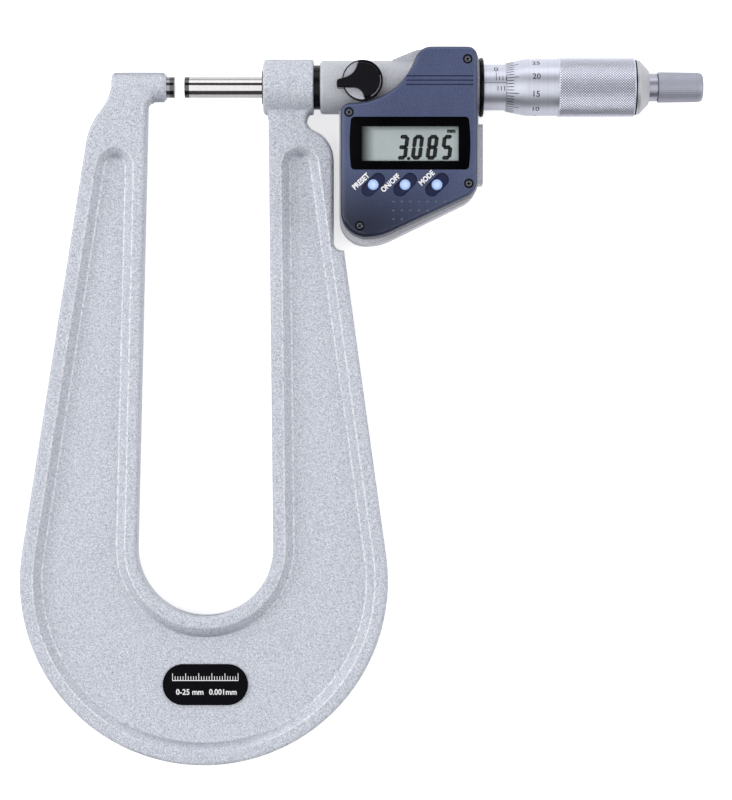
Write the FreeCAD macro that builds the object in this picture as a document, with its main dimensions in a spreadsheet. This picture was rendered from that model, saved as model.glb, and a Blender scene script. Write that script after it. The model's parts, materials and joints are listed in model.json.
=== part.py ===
import FreeCAD, Part
import os
import re

import Sketcher

# Digital plate micrometer, 0 to 25 mm, with a deep U frame for reaching far in on sheet metal.
# It lies on its back. The origin is the centre of the anvil's measuring face, +X runs along the
# spindle towards the thimble, +Y points away from the throat, and +Z comes out of the display.
# It is modelled with the gap between the measuring faces open by the reading. Millimetres, degrees.

Vector = FreeCAD.Vector
document = FreeCAD.newDocument("PlateMicrometer")

DIMENSIONS = {
    # How far a cut runs past the face it starts from
    "cut_past": 1.0,
    # U frame casting: outline
    "frame_thickness": 9.0,
    "frame_edge_round": 1.2,
    "bow_x": 9.0,
    "bow_y": -149.4,
    "bow_radius": 55.6,
    "left_lean": 8.87,
    "right_lean": 7.89,
    "slot_x": 9.35,
    "slot_y": -139.45,
    "slot_radius": 20.55,
    "slot_left_lean": 1.33,
    "slot_right_lean": 0.62,
    "left_mouth_y": -6.1,
    "mouth_round": 1.6,
    "right_mouth_y": -10.5,
    "right_mouth_rise": 3.0,
    "left_flank_top_y": -18.0,
    "left_shoulder_x": -22.5,
    "left_shoulder_y": -7.6,
    "left_shoulder_radius": 20.0,
    "left_neck_radius": 18.0,
    "right_shoulder_angle": 68.0,
    "right_notch_radius": 3.4,
    "right_shoulder_radius": 9.5,
    "relief_x": 48.15,
    "relief_top_y": -22.2,
    "relief_bottom_y": -47.0,
    "relief_corner_radius": 2.6,
    # U frame casting: recessed web
    "rim_width": 3.9,
    "lip_width": 3.6,
    "recess_depth": 2.5,
    "recess_slope_run": 2.7,
    "left_recess_y": -24.4,
    "right_recess_y": -24.0,
    # U frame casting: bosses
    "left_neck_top_x": -18.9,
    "anvil_boss_left_x": -19.0,
    "anvil_boss_right_x": -2.4,
    "anvil_boss_radius": 4.5,
    "anvil_boss_chamfer": 0.9,
    "head_boss_left_x": 26.9,
    "head_boss_right_x": 42.1,
    "head_boss_radius": 8.4,
    "head_boss_chamfer": 1.1,
    # Measuring faces and spindle
    "reading": 3.085,
    "measuring_radius": 3.175,
    "carbide_length": 1.4,
    "anvil_shank_length": 10.0,
    "spindle_fit": 0.05,
    "spindle_clearance": 0.1,
    "thread_radius": 3.5,
    "thread_start_x": 96.0,
    "thread_run_in": 0.5,
    "keyway_start_x": 46.0,
    "keyway_end_x": 84.0,
    "keyway_width": 1.0,
    "keyway_depth": 0.5,
    "seal_radius": 5.1,
    "seal_length": 1.4,
    "seal_stand_out": 0.35,
    "mounting_ring_length": 2.0,
    "mounting_ring_radius": 6.7,
    # Head casting: tube and tray
    "tube_radius": 8.1,
    "tube_end_x": 92.1,
    "tube_round": 1.0,
    "spigot_radius": 6.0,
    "spigot_start_x": 28.6,
    "tray_left_x": 49.9,
    "tray_right_x": 91.9,
    "tray_top_y": 11.2,
    "tray_bottom_y": -48.1,
    "tray_under_tube_y": -5.0,
    "tray_heel_radius": 8.0,
    "tray_slant_x": 62.5,
    "tray_toe_y": -33.2,
    "tray_toe_radius": 8.0,
    "tray_rise_x": 73.6,
    "tray_rise_radius": 8.0,
    "tray_fall_x": 66.0,
    "tray_tuck": 0.05,
    "slant_lift": 0.6,
    "slant_radius": 16.0,
    "tray_back_z": -11.0,
    "tray_back_round": 1.2,
    "parting_z": 3.0,
    "tray_floor_z": -2.6,
    # Front cover
    "cover_front_z": 13.5,
    "cover_left_x": 50.4,
    "cover_right_x": 91.2,
    "cover_top_y": 10.83,
    "cover_bottom_y": -46.6,
    "cover_edge_round": 1.45,
    "cover_corner_radius": 3.0,
    "cover_heel_radius": 7.8,
    "cover_slant_x": 62.3,
    "cover_toe_y": -32.6,
    "cover_toe_radius": 5.5,
    "cover_shoulder_radius": 5.2,
    "cover_ear_radius": 2.7,
    "cover_skin": 1.5,
    "cover_tube_gap": 0.1,
    "bay_radius": 20.17,
    "bay_x": 53.6,
    "bay_y": -6.1,
    "cavity_left_x": 53.2,
    "cavity_right_x": 89.2,
    "cavity_top_y": -10.95,
    "cavity_bottom_y": -43.4,
    "cavity_slant_x": 64.5,
    "cavity_slant_y": -33.4,
    "screw_boss": 2.8,
    "gasket_width": 1.0,
    "gasket_thickness": 0.4,
    "groove_y": 1.88,
    "groove_pitch": 1.28,
    "groove_width": 0.36,
    "groove_depth": 0.35,
    "groove_start_x": 69.9,
    "groove_end_x": 90.0,
    # Display
    "window_left_x": 53.4,
    "window_right_x": 88.7,
    "window_top_y": -10.27,
    "window_bottom_y": -26.06,
    "window_bulge_radius": 60.0,
    "window_corner": 1.2,
    "window_thickness": 0.8,
    "window_sink": 0.15,
    "lcd_left_x": 56.0,
    "lcd_right_x": 86.15,
    "lcd_top_y": -12.5,
    "lcd_bottom_y": -24.0,
    "lcd_gap": 0.1,
    "board_z": 6.4,
    "board_thickness": 1.2,
    "board_gap": 0.6,
    # Buttons
    "button_y": -30.56,
    "first_button_x": 60.11,
    "button_pitch": 9.5,
    "button_radius": 1.64,
    "button_top_z": 13.6,
    "button_foot_z": 9.9,
    "button_flange_radius": 2.3,
    "button_flange_thickness": 0.9,
    "button_edge_round": 0.4,
    "button_gap": 0.1,
    "oval_length": 8.3,
    "oval_width": 4.1,
    "oval_depth": 0.7,
    "pad_thickness": 1.6,
    "pad_margin": 1.0,
    # Cover screws
    "screw_head_radius": 1.4,
    "screw_head_length": 0.9,
    "screw_head_fit": 0.05,
    "screw_sink": 0.3,
    "screw_radius": 0.9,
    "screw_end_z": -1.5,
    "screw_top_right_x": 88.24,
    "screw_top_right_y": 6.98,
    "screw_top_left_x": 52.88,
    "screw_top_left_y": -8.88,
    "screw_low_right_x": 88.6,
    "screw_low_right_y": -30.15,
    "screw_low_left_x": 56.06,
    "screw_low_left_y": -42.78,
    # Encoder
    "encoder_bore_radius": 6.5,
    "encoder_start_x": 65.0,
    "encoder_end_x": 79.0,
    "stator_length": 3.2,
    "stator_inner_radius": 3.7,
    "rotor_gap": 0.4,
    "rotor_radius": 6.1,
    "rotor_disc_length": 1.2,
    "rotor_bush_radius": 4.7,
    "rotor_key_width": 0.8,
    "rotor_key_height": 0.36,
    "rotor_key_root": 0.3,
    # Clamp
    "clamp_x": 56.9,
    "clamp_y": 0.85,
    "clamp_disc_radius": 6.1,
    "clamp_base_z": 8.5,
    "clamp_top_z": 13.0,
    "clamp_rim_z": 11.2,
    "clamp_grip_radius": 5.2,
    "clamp_grip_round": 0.4,
    "clamp_upper_angle": 107.0,
    "clamp_lower_angle": -85.6,
    "clamp_upper_scoop": 5.1,
    "clamp_lower_scoop": 3.1,
    "clamp_upper_root": 5.97,
    "clamp_lower_root": 2.6,
    "clamp_shoulder": 0.6,
    "clamp_tab_high": 0.1,
    "clamp_tab_low": 2.3,
    "clamp_tab_reach": 7.5,
    "clamp_tab_bulge": 3.0,
    "clamp_shaft_radius": 1.6,
    "clamp_shaft_end_z": 3.5,
    "clamp_fit": 0.06,
    # Sleeves and nut
    "collar_length": 1.35,
    "collar_radius": 9.0,
    "collar_round": 0.6,
    "sleeve_seat_radius": 5.3,
    "inner_sleeve_radius": 5.7,
    "inner_sleeve_bore": 3.7,
    "inner_sleeve_end_x": 130.0,
    "nut_start_x": 118.0,
    "nut_fit": 0.1,
    "outer_sleeve_radius": 6.9,
    "outer_sleeve_end_x": 124.0,
    "taper_nut_radius": 6.4,
    "taper_nut_gap": 0.3,
    # Thimble
    "zero_line_x": 97.115,
    "thimble_fit": 0.08,
    "thimble_edge_wall": 0.3,
    "thimble_cone_end_x": 106.0,
    "thimble_radius": 8.55,
    "knurl_start_x": 116.0,
    "knurl_end_x": 139.0,
    "knurl_radius": 9.0,
    "knurl_chamfer": 0.45,
    "thimble_band_radius": 8.25,
    "thimble_wall_x": 136.0,
    "thimble_end_x": 139.8,
    "cap_length": 3.6,
    "cap_rim_radius": 8.2,
    "cap_rim_length": 0.8,
    "cap_face_radius": 5.2,
    # Ratchet
    "neck_radius": 4.2,
    "neck_length": 2.5,
    "knob_gap": 0.3,
    "knob_length": 13.6,
    "knob_radius": 4.6,
    "knob_end_radius": 4.35,
    "knob_end_round": 0.8,
    "knob_bore_radius": 4.0,
    "knob_flange_start": 4.8,
    "knob_flange_length": 1.5,
    "knob_rear_bore_radius": 3.5,
    "knob_cap_length": 1.4,
    "ratchet_screw_radius": 1.8,
    "ratchet_screw_start_x": 128.0,
    "ratchet_screw_head_radius": 3.1,
    "ratchet_screw_head_length": 2.0,
    "ratchet_screw_gap": 0.2,
    "ratchet_fit": 0.08,
    "ratchet_lift": 0.5,
    "ratchet_slip": 0.15,
    "ratchet_tooth_height": 0.6,
    "ratchet_tooth_width": 0.8,
    "ratchet_tooth_inner": 2.3,
    "ratchet_tooth_outer": 3.5,
    "ratchet_teeth": 12,
    "clutch_radius": 3.9,
    "clutch_length": 1.5,
    # Range plate
    "plate_x": 9.4,
    "plate_rise": 1.8,
    "plate_length": 25.8,
    "plate_width": 12.4,
    "plate_thickness": 0.5,
    # Battery
    "battery_x": 75.5,
    "battery_y": -28.5,
    "battery_radius": 5.8,
    "battery_height": 5.4,
    "battery_gap": 0.2,
    "battery_cover_radius": 7.6,
    "battery_cover_thickness": 1.4,
    "battery_seal_thickness": 0.5,
    "coin_slot_length": 9.0,
    "coin_slot_width": 1.4,
    "coin_slot_depth": 0.6,
    "contact_thickness": 0.3,
    "contact_inset": 1.0,
    # Data socket
    "socket_top_y": -11.2,
    "socket_bottom_y": -29.4,
    "socket_front_z": 1.6,
    "socket_back_z": -9.6,
    "socket_plate_thickness": 1.4,
    "socket_block_length": 10.0,
    "socket_block_height": 5.0,
    "socket_block_depth": 3.2,
    "socket_corner": 1.5,
    "socket_screw_inset": 2.3,
    "socket_screw_radius": 0.7,
    "socket_screw_head_radius": 1.3,
    "socket_screw_head_length": 0.7,
    "socket_screw_length": 4.0,
}

# Sizes that follow from the driving ones
WORKED = {
    "frame_front_z": "frame_thickness / 2",
    "web_front_z": "frame_thickness / 2 - recess_depth",
    "left_flank_top_x":
        "bow_x - bow_radius / cos(left_lean) + (left_flank_top_y - bow_y) * tan(left_lean)",
    "right_flank_top_y": "relief_bottom_y - relief_corner_radius",
    "right_flank_top_x":
        "bow_x + bow_radius / cos(right_lean) - (right_flank_top_y - bow_y) * tan(right_lean)",
    "left_mouth_x":
        "slot_x - slot_radius / cos(slot_left_lean) + (left_mouth_y - slot_y) * tan(slot_left_lean)",
    "right_mouth_x":
        "slot_x + slot_radius / cos(slot_right_lean) - (right_mouth_y - slot_y) * tan(slot_right_lean)",
    "right_shoulder_x": "relief_x - right_shoulder_radius",
    "right_notch_x":
        "right_shoulder_x + (right_shoulder_radius + right_notch_radius) * cos(right_shoulder_angle)",
    "right_notch_y":
        "relief_top_y + (right_shoulder_radius + right_notch_radius) * sin(right_shoulder_angle)",
    "left_recess_x":
        "(slot_x * cos(slot_left_lean) + (left_recess_y - slot_y) * sin(slot_left_lean)"
        " + bow_x * cos(left_lean) + (left_recess_y - bow_y) * sin(left_lean)"
        " - slot_radius - lip_width - bow_radius + rim_width) / (cos(slot_left_lean) + cos(left_lean))",
    "right_recess_x":
        "(slot_x * cos(slot_right_lean) - (right_recess_y - slot_y) * sin(slot_right_lean)"
        " + bow_x * cos(right_lean) - (right_recess_y - bow_y) * sin(right_lean)"
        " + slot_radius + lip_width + bow_radius - rim_width) / (cos(slot_right_lean) + cos(right_lean))",
    "left_recess_radius":
        "(slot_x - left_recess_x) * cos(slot_left_lean) + (left_recess_y - slot_y) * sin(slot_left_lean)"
        " - slot_radius - lip_width",
    "right_recess_radius":
        "(right_recess_x - slot_x) * cos(slot_right_lean) + (right_recess_y - slot_y) * sin(slot_right_lean)"
        " - slot_radius - lip_width",
    "plate_y": "(slot_y - slot_radius + bow_y - bow_radius) / 2 + plate_rise",
    "tip_end_x": "reading + carbide_length",
    "seal_start_x": "head_boss_left_x - seal_stand_out",
    "seal_end_x": "seal_start_x + seal_length",
    "tube_start_x": "head_boss_right_x + mounting_ring_length",
    "collar_end_x": "tube_end_x + collar_length",
    "stator_end_x": "encoder_start_x + stator_length",
    "rotor_start_x": "stator_end_x + rotor_gap",
    "rotor_end_x": "encoder_end_x - rotor_gap",
    "bay_end_x": "bay_x + sqrt(bay_radius ^ 2 - (cover_top_y - bay_y - bay_radius) ^ 2)",
    "cover_inside_z": "cover_front_z - cover_skin",
    "window_back_z": "cover_front_z - window_sink - window_thickness",
    "board_top_z": "board_z + board_thickness",
    "screw_head_z": "cover_front_z - screw_sink - screw_head_length",
    "thimble_edge_x": "zero_line_x + reading",
    "thimble_bore": "outer_sleeve_radius + thimble_fit",
    "cap_end_x": "thimble_end_x + cap_length",
    "neck_end_x": "cap_end_x + neck_length",
    "knob_start_x": "neck_end_x + knob_gap",
    "knob_end_x": "knob_start_x + knob_length",
    "knob_flange_x": "knob_start_x + knob_flange_start",
    "knob_flange_end_x": "knob_flange_x + knob_flange_length",
    "knob_cap_x": "knob_end_x - knob_cap_length",
    "ratchet_screw_head_x": "knob_flange_end_x + ratchet_screw_gap",
    "tooth_crest_x": "neck_end_x + ratchet_tooth_height + ratchet_lift",
    "clutch_crest_x": "tooth_crest_x + ratchet_slip",
    "clutch_start_x": "clutch_crest_x + ratchet_tooth_height",
    "clutch_end_x": "clutch_start_x + clutch_length",
    "battery_cover_z": "tray_back_z + battery_cover_thickness",
    "battery_seal_z": "battery_cover_z + battery_seal_thickness",
    "battery_z": "battery_cover_z + battery_gap",
    "battery_top_z": "battery_z + battery_height",
    "battery_well_z": "battery_top_z + contact_thickness",
    "socket_mid_y": "(socket_top_y + socket_bottom_y) / 2",
    "socket_mid_z": "(socket_front_z + socket_back_z) / 2",
    "socket_plate_x": "tray_right_x + socket_plate_thickness",
}


def fill_sheet(name, cells):
    """Write one alias, value and row per size."""
    sheet = document.addObject("Spreadsheet::Sheet", name)
    for row, (alias, content) in enumerate(cells.items(), start=1):
        sheet.set(f"A{row}", alias)
        sheet.set(f"B{row}", content)
        sheet.setAlias(f"B{row}", alias)
    document.recompute()
    return sheet


HOME = {alias: f"Dims.{alias}" for alias in DIMENSIONS}


def cells(expression):
    """Point each size named in an expression at its spreadsheet cell."""
    return re.sub(r"[a-z][a-z_]*", lambda word: HOME.get(word.group(), word.group()), str(expression))


sheet = fill_sheet("Dims", {alias: str(value) for alias, value in DIMENSIONS.items()})
fill_sheet("Worked", {alias: "=" + cells(rule) for alias, rule in WORKED.items()})
HOME.update({alias: f"Worked.{alias}" for alias in WORKED})


def size(expression):
    """Give an expression's present value in millimetres or degrees."""
    return float(sheet.evalExpression(cells(expression)))


def bind(feature, prop, expression):
    """Tie a property to the spreadsheet."""
    feature.setExpression(prop, cells(expression))


# Sketches and features


def new_body(label):
    """Start a piece. Its label names its file."""
    body = document.addObject("PartDesign::Body", label)
    body.Label = label
    return body


def origin_part(body, role):
    """Find one of a body's own origin planes or axes."""
    return next(part for part in body.Origin.OriginFeatures if part.Role == role)


def arc_between(start, end, radius):
    """Draw the short arc from start to end. A positive radius turns left, a negative one right."""
    chord = end - start
    rise = max(radius * radius - chord.Length ** 2 / 4, 0.0) ** 0.5
    left = Vector(-chord.y, chord.x, 0).normalize()
    centre = (start + end) * 0.5 + left * (rise if radius > 0 else -rise)
    circle = Part.Circle(centre, Vector(0, 0, 1), abs(radius))
    first, last = (start, end) if radius > 0 else (end, start)
    return Part.ArcOfCircle(circle, circle.parameter(first), circle.parameter(last))


def draw(body, name, plane, outline, lift="0"):
    """Sketch a closed outline, each corner and radius tied to the sheet.

    An entry (x, y) starts a straight edge and (x, y, radius) an arc, up to the next entry.
    """
    sketch = body.newObject("Sketcher::SketchObject", name)
    sketch.AttachmentSupport = (origin_part(body, plane), [""])
    sketch.MapMode = "FlatFace"
    bind(sketch, ".AttachmentOffset.Base.z", lift)
    points = [Vector(size(entry[0]), size(entry[1]), 0) for entry in outline]
    count = len(outline)
    ends = []
    for index, entry in enumerate(outline):
        start, end = points[index], points[(index + 1) % count]
        radius = size(entry[2]) if len(entry) == 3 else 0
        sketch.addGeometry(arc_between(start, end, radius) if radius else Part.LineSegment(start, end), False)
        ends.append((2, 1) if radius < 0 else (1, 2))
    rules = []
    bound = []
    for index, entry in enumerate(outline):
        following = (index + 1) % count
        rules.append(Sketcher.Constraint("Coincident", index, ends[index][1], following, ends[following][0]))
        for axis, kind in enumerate(("DistanceX", "DistanceY")):
            bound.append((len(rules), entry[axis]))
            rules.append(Sketcher.Constraint(kind, -1, 1, index, ends[index][0], points[index][axis]))
        if len(entry) == 3:
            sign = "" if size(entry[2]) > 0 else "-1 * "
            bound.append((len(rules), f"{sign}({entry[2]})"))
            rules.append(Sketcher.Constraint("Radius", index, abs(size(entry[2]))))
    sketch.addConstraint(rules)
    for number, expression in bound:
        bind(sketch, f"Constraints[{number}]", expression)
    return sketch


def settle(body, feature, removes=False):
    """Recompute, make the feature the body's tip, and stop if a cut took nothing away."""
    before = body.Shape.Volume if body.Tip and not body.Shape.isNull() else 0.0
    body.Tip = feature
    document.recompute()
    after = body.Shape.Volume
    if "Invalid" in feature.State or (removes and after > before - 1e-6):
        raise RuntimeError(f"{body.Label}: {feature.Name} took {before - after}, {feature.getStatusString()}")
    return feature


def pad(body, sketch, length, reverse=False, middle=False):
    """Raise a sketch into a slab."""
    feature = body.newObject("PartDesign::Pad", f"{sketch.Name}_pad")
    feature.Profile = sketch
    bind(feature, "Length", length)
    feature.SideType = "Symmetric" if middle else "One side"
    feature.Reversed = reverse
    return settle(body, feature)


def pocket(body, sketch, depth, reverse=False):
    """Sink a sketch into the piece, against the sketch's normal unless reversed."""
    feature = body.newObject("PartDesign::Pocket", f"{sketch.Name}_pocket")
    feature.Profile = sketch
    bind(feature, "Length", depth)
    feature.Reversed = reverse
    return settle(body, feature, removes=True)


def spin(body, sketch, removes=False):
    """Turn a profile of (x, radius) all the way round the X axis."""
    kind = "Groove" if removes else "Revolution"
    feature = body.newObject(f"PartDesign::{kind}", f"{sketch.Name}_{kind.lower()}")
    feature.Profile = sketch
    feature.ReferenceAxis = (sketch, ["H_Axis"])
    feature.Angle = 360
    return settle(body, feature, removes)


def round_off(body, names, radius, kind="Fillet"):
    """Round or chamfer named edges or faces of the body's tip."""
    base = body.Tip
    feature = body.newObject(f"PartDesign::{kind}", f"{body.Label}_{kind.lower()}")
    feature.Base = (base, names)
    bind(feature, "Radius" if kind == "Fillet" else "Size", radius)
    return settle(body, feature)


def round_corners(body, corners):
    """Round the upright edge at each corner that has a rounding."""
    for x, y, radius in corners:
        if radius == "0":
            continue
        place = Vector(size(x), size(y), 0)
        names = [
            f"Edge{number}"
            for number, edge in enumerate(body.Shape.Edges, start=1)
            if all(Vector(end.X, end.Y, 0).distanceToPoint(place) < 1e-4 for end in edge.Vertexes)
        ]
        round_off(body, names, radius)


def flat_faces(shape, height):
    """Name the faces that lie level at a height."""
    return [
        f"Face{number}"
        for number, face in enumerate(shape.Faces, start=1)
        if face.BoundBox.ZLength < 1e-6 and abs(face.BoundBox.ZMin - height) < 1e-6
    ]


def tube(first, last, outer, inner="0"):
    """Profile of a plain ring or rod, from first to last along X."""
    return [(first, inner), (first, outer), (last, outer), (last, inner)]


def turned(label, profile):
    """Make a lathe-turned piece."""
    body = new_body(label)
    spin(body, draw(body, f"{label}_profile", "XY_Plane", profile))
    return body


def turned_upright(label, x, y, profile):
    """Make a piece turned about a line along Z, from a profile of (radius, height)."""
    body = new_body(label)
    sketch = draw(body, f"{label}_profile", "XZ_Plane", profile)
    feature = body.newObject("PartDesign::Revolution", f"{label}_revolution")
    feature.Profile = sketch
    feature.ReferenceAxis = (sketch, ["V_Axis"])
    feature.Angle = 360
    settle(body, feature)
    bind(body, ".Placement.Base.x", x)
    bind(body, ".Placement.Base.y", y)
    return body


def plate(label, outline, lift, thickness):
    """Make a flat piece that stands up from a height."""
    body = new_body(label)
    pad(body, draw(body, f"{label}_outline", "XY_Plane", outline, lift), thickness)
    return body


def rectangle(left, right, low, high):
    return [(left, low), (right, low), (right, high), (left, high)]


def rounded(left, right, low, high, corner):
    """A rectangle with quarter-round corners."""
    return [
        (f"{left} + {corner}", low),
        (f"{right} - {corner}", low, corner),
        (right, f"{low} + {corner}"),
        (right, f"{high} - {corner}", corner),
        (f"{right} - {corner}", high),
        (f"{left} + {corner}", high, corner),
        (left, f"{high} - {corner}"),
        (left, f"{low} + {corner}", corner),
    ]


def circle(x, y, radius):
    """A full circle as four quarter arcs."""
    return [
        (f"{x} + {radius}", y, radius),
        (x, f"{y} + {radius}", radius),
        (f"{x} - {radius}", y, radius),
        (x, f"{y} - {radius}", radius),
    ]


def stadium(x, y, length, width, angle="0"):
    """A slot shape with round ends, its long way at an angle to X."""
    half = f"(({length} - {width}) / 2)"
    radius = f"({width} / 2)"

    def corner(along, across):
        """Step along the straight part and across it, each from the middle."""
        return (
            f"{x} + ({along}) * cos({angle}) - ({across}) * sin({angle})",
            f"{y} + ({along}) * sin({angle}) + ({across}) * cos({angle})",
        )

    return [
        corner(f"-{half}", f"-{radius}"),
        corner(half, f"-{radius}") + (radius,),
        corner(f"{half} + {radius}", "0") + (radius,),
        corner(half, radius),
        corner(f"-{half}", radius) + (radius,),
        corner(f"-{half} - {radius}", "0") + (radius,),
    ]


# U frame and anvil


def frame_outline():
    """The casting seen from the front, with the throat as its inner edge."""
    return [
        ("left_neck_top_x", "0"),
        ("left_mouth_x + mouth_round", "0"),
        ("left_mouth_x + mouth_round", "-anvil_boss_radius", "mouth_round"),
        ("left_mouth_x", "-anvil_boss_radius - mouth_round"),
        (
            "slot_x - slot_radius * cos(slot_left_lean)",
            "slot_y + slot_radius * sin(slot_left_lean)",
            "slot_radius",
        ),
        ("slot_x", "slot_y - slot_radius", "slot_radius"),
        ("slot_x + slot_radius * cos(slot_right_lean)", "slot_y + slot_radius * sin(slot_right_lean)"),
        ("right_mouth_x", "right_mouth_y"),
        ("head_boss_left_x + head_boss_chamfer", "right_mouth_y + right_mouth_rise"),
        ("head_boss_left_x + head_boss_chamfer", "0"),
        ("head_boss_right_x", "0"),
        (
            "head_boss_right_x",
            "right_notch_y + sqrt(right_notch_radius ^ 2 - (head_boss_right_x - right_notch_x) ^ 2)",
            "right_notch_radius",
        ),
        (
            "right_shoulder_x + right_shoulder_radius * cos(right_shoulder_angle)",
            "relief_top_y + right_shoulder_radius * sin(right_shoulder_angle)",
            "-right_shoulder_radius",
        ),
        ("relief_x", "relief_top_y"),
        ("relief_x", "relief_bottom_y", "relief_corner_radius"),
        ("relief_x + relief_corner_radius", "right_flank_top_y"),
        ("right_flank_top_x", "right_flank_top_y"),
        ("bow_x + bow_radius * cos(right_lean)", "bow_y + bow_radius * sin(right_lean)", "-bow_radius"),
        ("bow_x", "bow_y - bow_radius", "-bow_radius"),
        ("bow_x - bow_radius * cos(left_lean)", "bow_y + bow_radius * sin(left_lean)"),
        ("left_flank_top_x", "left_flank_top_y", "-left_shoulder_radius"),
        ("left_shoulder_x", "left_shoulder_y", "left_neck_radius"),
    ]


def recess_outline(inset):
    """The sunk web's edge, moved in by an inset from the rim and the lip."""
    left = f"(left_recess_radius - {inset})"
    right = f"(right_recess_radius - {inset})"
    outer = f"(bow_radius - rim_width - {inset})"
    inner = f"(slot_radius + lip_width + {inset})"
    return [
        (f"left_recess_x - {left} * cos(left_lean)", f"left_recess_y + {left} * sin(left_lean)", f"-{left}"),
        ("left_recess_x", f"left_recess_y + {left}", f"-{left}"),
        (f"left_recess_x + {left} * cos(slot_left_lean)", f"left_recess_y - {left} * sin(slot_left_lean)"),
        (f"slot_x - {inner} * cos(slot_left_lean)", f"slot_y + {inner} * sin(slot_left_lean)", inner),
        ("slot_x", f"slot_y - {inner}", inner),
        (f"slot_x + {inner} * cos(slot_right_lean)", f"slot_y + {inner} * sin(slot_right_lean)"),
        (
            f"right_recess_x - {right} * cos(slot_right_lean)",
            f"right_recess_y - {right} * sin(slot_right_lean)",
            f"-{right}",
        ),
        ("right_recess_x", f"right_recess_y + {right}", f"-{right}"),
        (f"right_recess_x + {right} * cos(right_lean)", f"right_recess_y + {right} * sin(right_lean)"),
        (f"bow_x + {outer} * cos(right_lean)", f"bow_y + {outer} * sin(right_lean)", f"-{outer}"),
        ("bow_x", f"bow_y - {outer}", f"-{outer}"),
        (f"bow_x - {outer} * cos(left_lean)", f"bow_y + {outer} * sin(left_lean)"),
    ]


def make_frame():
    """One casting: a flat U with a thick rim, a thin web, and a round boss at each mouth."""
    body = new_body("frame")
    slab = pad(body, draw(body, "frame_outline", "XY_Plane", frame_outline()), "frame_thickness", middle=True)
    half = size("frame_front_z")
    round_off(body, flat_faces(slab.Shape, half) + flat_faces(slab.Shape, -half), "frame_edge_round")
    anvil_boss = [
        ("anvil_boss_left_x", "0"),
        ("anvil_boss_left_x", "anvil_boss_radius - frame_edge_round", "-frame_edge_round"),
        ("anvil_boss_left_x + frame_edge_round", "anvil_boss_radius"),
        ("anvil_boss_right_x - anvil_boss_chamfer", "anvil_boss_radius"),
        ("anvil_boss_right_x", "anvil_boss_radius - anvil_boss_chamfer"),
        ("anvil_boss_right_x", "0"),
    ]
    spin(body, draw(body, "anvil_boss", "XY_Plane", anvil_boss))
    head_boss = [
        ("head_boss_left_x", "0"),
        ("head_boss_left_x", "head_boss_radius - head_boss_chamfer", "-head_boss_chamfer"),
        ("head_boss_left_x + head_boss_chamfer", "head_boss_radius"),
        ("head_boss_right_x - head_boss_chamfer / 2", "head_boss_radius", "-head_boss_chamfer / 2"),
        ("head_boss_right_x", "head_boss_radius - head_boss_chamfer / 2"),
        ("head_boss_right_x", "0"),
    ]
    spin(body, draw(body, "head_boss", "XY_Plane", head_boss))
    rim = draw(body, "recess_rim", "XY_Plane", recess_outline("0"), "frame_front_z")
    floor = draw(body, "recess_floor", "XY_Plane", recess_outline("recess_slope_run"), "web_front_z")
    recess = body.newObject("PartDesign::SubtractiveLoft", "recess")
    recess.Profile = rim
    recess.Sections = [floor]
    recess.Ruled = True
    settle(body, recess, removes=True)
    other_side = body.newObject("PartDesign::Mirrored", "back_recess")
    other_side.Originals = [recess]
    other_side.MirrorPlane = (origin_part(body, "XY_Plane"), [""])
    settle(body, other_side, removes=True)
    shank_start = "anvil_boss_right_x - anvil_shank_length"
    anvil_hole = tube(shank_start, "anvil_boss_right_x + cut_past", "measuring_radius")
    spin(body, draw(body, "anvil_hole", "XY_Plane", anvil_hole), removes=True)
    head_bore = [
        ("seal_start_x - cut_past", "0"),
        ("seal_start_x - cut_past", "seal_radius"),
        ("seal_end_x", "seal_radius"),
        ("seal_end_x", "measuring_radius + spindle_clearance"),
        ("spigot_start_x", "measuring_radius + spindle_clearance"),
        ("spigot_start_x", "spigot_radius"),
        ("head_boss_right_x + cut_past", "spigot_radius"),
        ("head_boss_right_x + cut_past", "0"),
    ]
    spin(body, draw(body, "head_bore", "XY_Plane", head_bore), removes=True)


def make_anvil():
    """The fixed anvil is pressed into its boss and carries a hard tip at the measuring face."""
    turned("anvil", tube("anvil_boss_right_x - anvil_shank_length", "-carbide_length", "measuring_radius"))
    turned("anvil_tip", tube("-carbide_length", "0", "measuring_radius"))


def make_range_plate():
    """A small oval plate that lies on the web below the throat."""
    outline = stadium("plate_x", "plate_y", "plate_length", "plate_width")
    plate("range_plate", outline, "web_front_z", "plate_thickness")


def make_head_rings():
    """The wiper ring at the boss's left face and the ring between the boss and the head."""
    bore = "measuring_radius + spindle_clearance"
    turned("spindle_seal", tube("seal_start_x", "seal_end_x", "seal_radius", bore))
    ring = tube("head_boss_right_x", "tube_start_x", "mounting_ring_radius", "spigot_radius")
    turned("mounting_ring", ring)


# Head casting


def tray_corners():
    """The back shell, a little larger than the cover, rising past the tube at its top.

    Each corner is (x, y, rounding).
    """
    return [
        ("tray_left_x", "tray_under_tube_y", "0"),
        ("tray_left_x", "tray_bottom_y", "tray_heel_radius"),
        ("tray_slant_x", "tray_bottom_y + slant_lift", "slant_radius"),
        ("tray_right_x", "tray_toe_y", "tray_toe_radius"),
        ("tray_right_x", "tray_top_y", "cover_corner_radius"),
        ("tray_rise_x", "tray_top_y", "tray_rise_radius"),
        ("tray_fall_x", "tube_radius - tray_tuck", "0"),
        ("tray_fall_x", "tray_under_tube_y", "0"),
    ]


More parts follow.
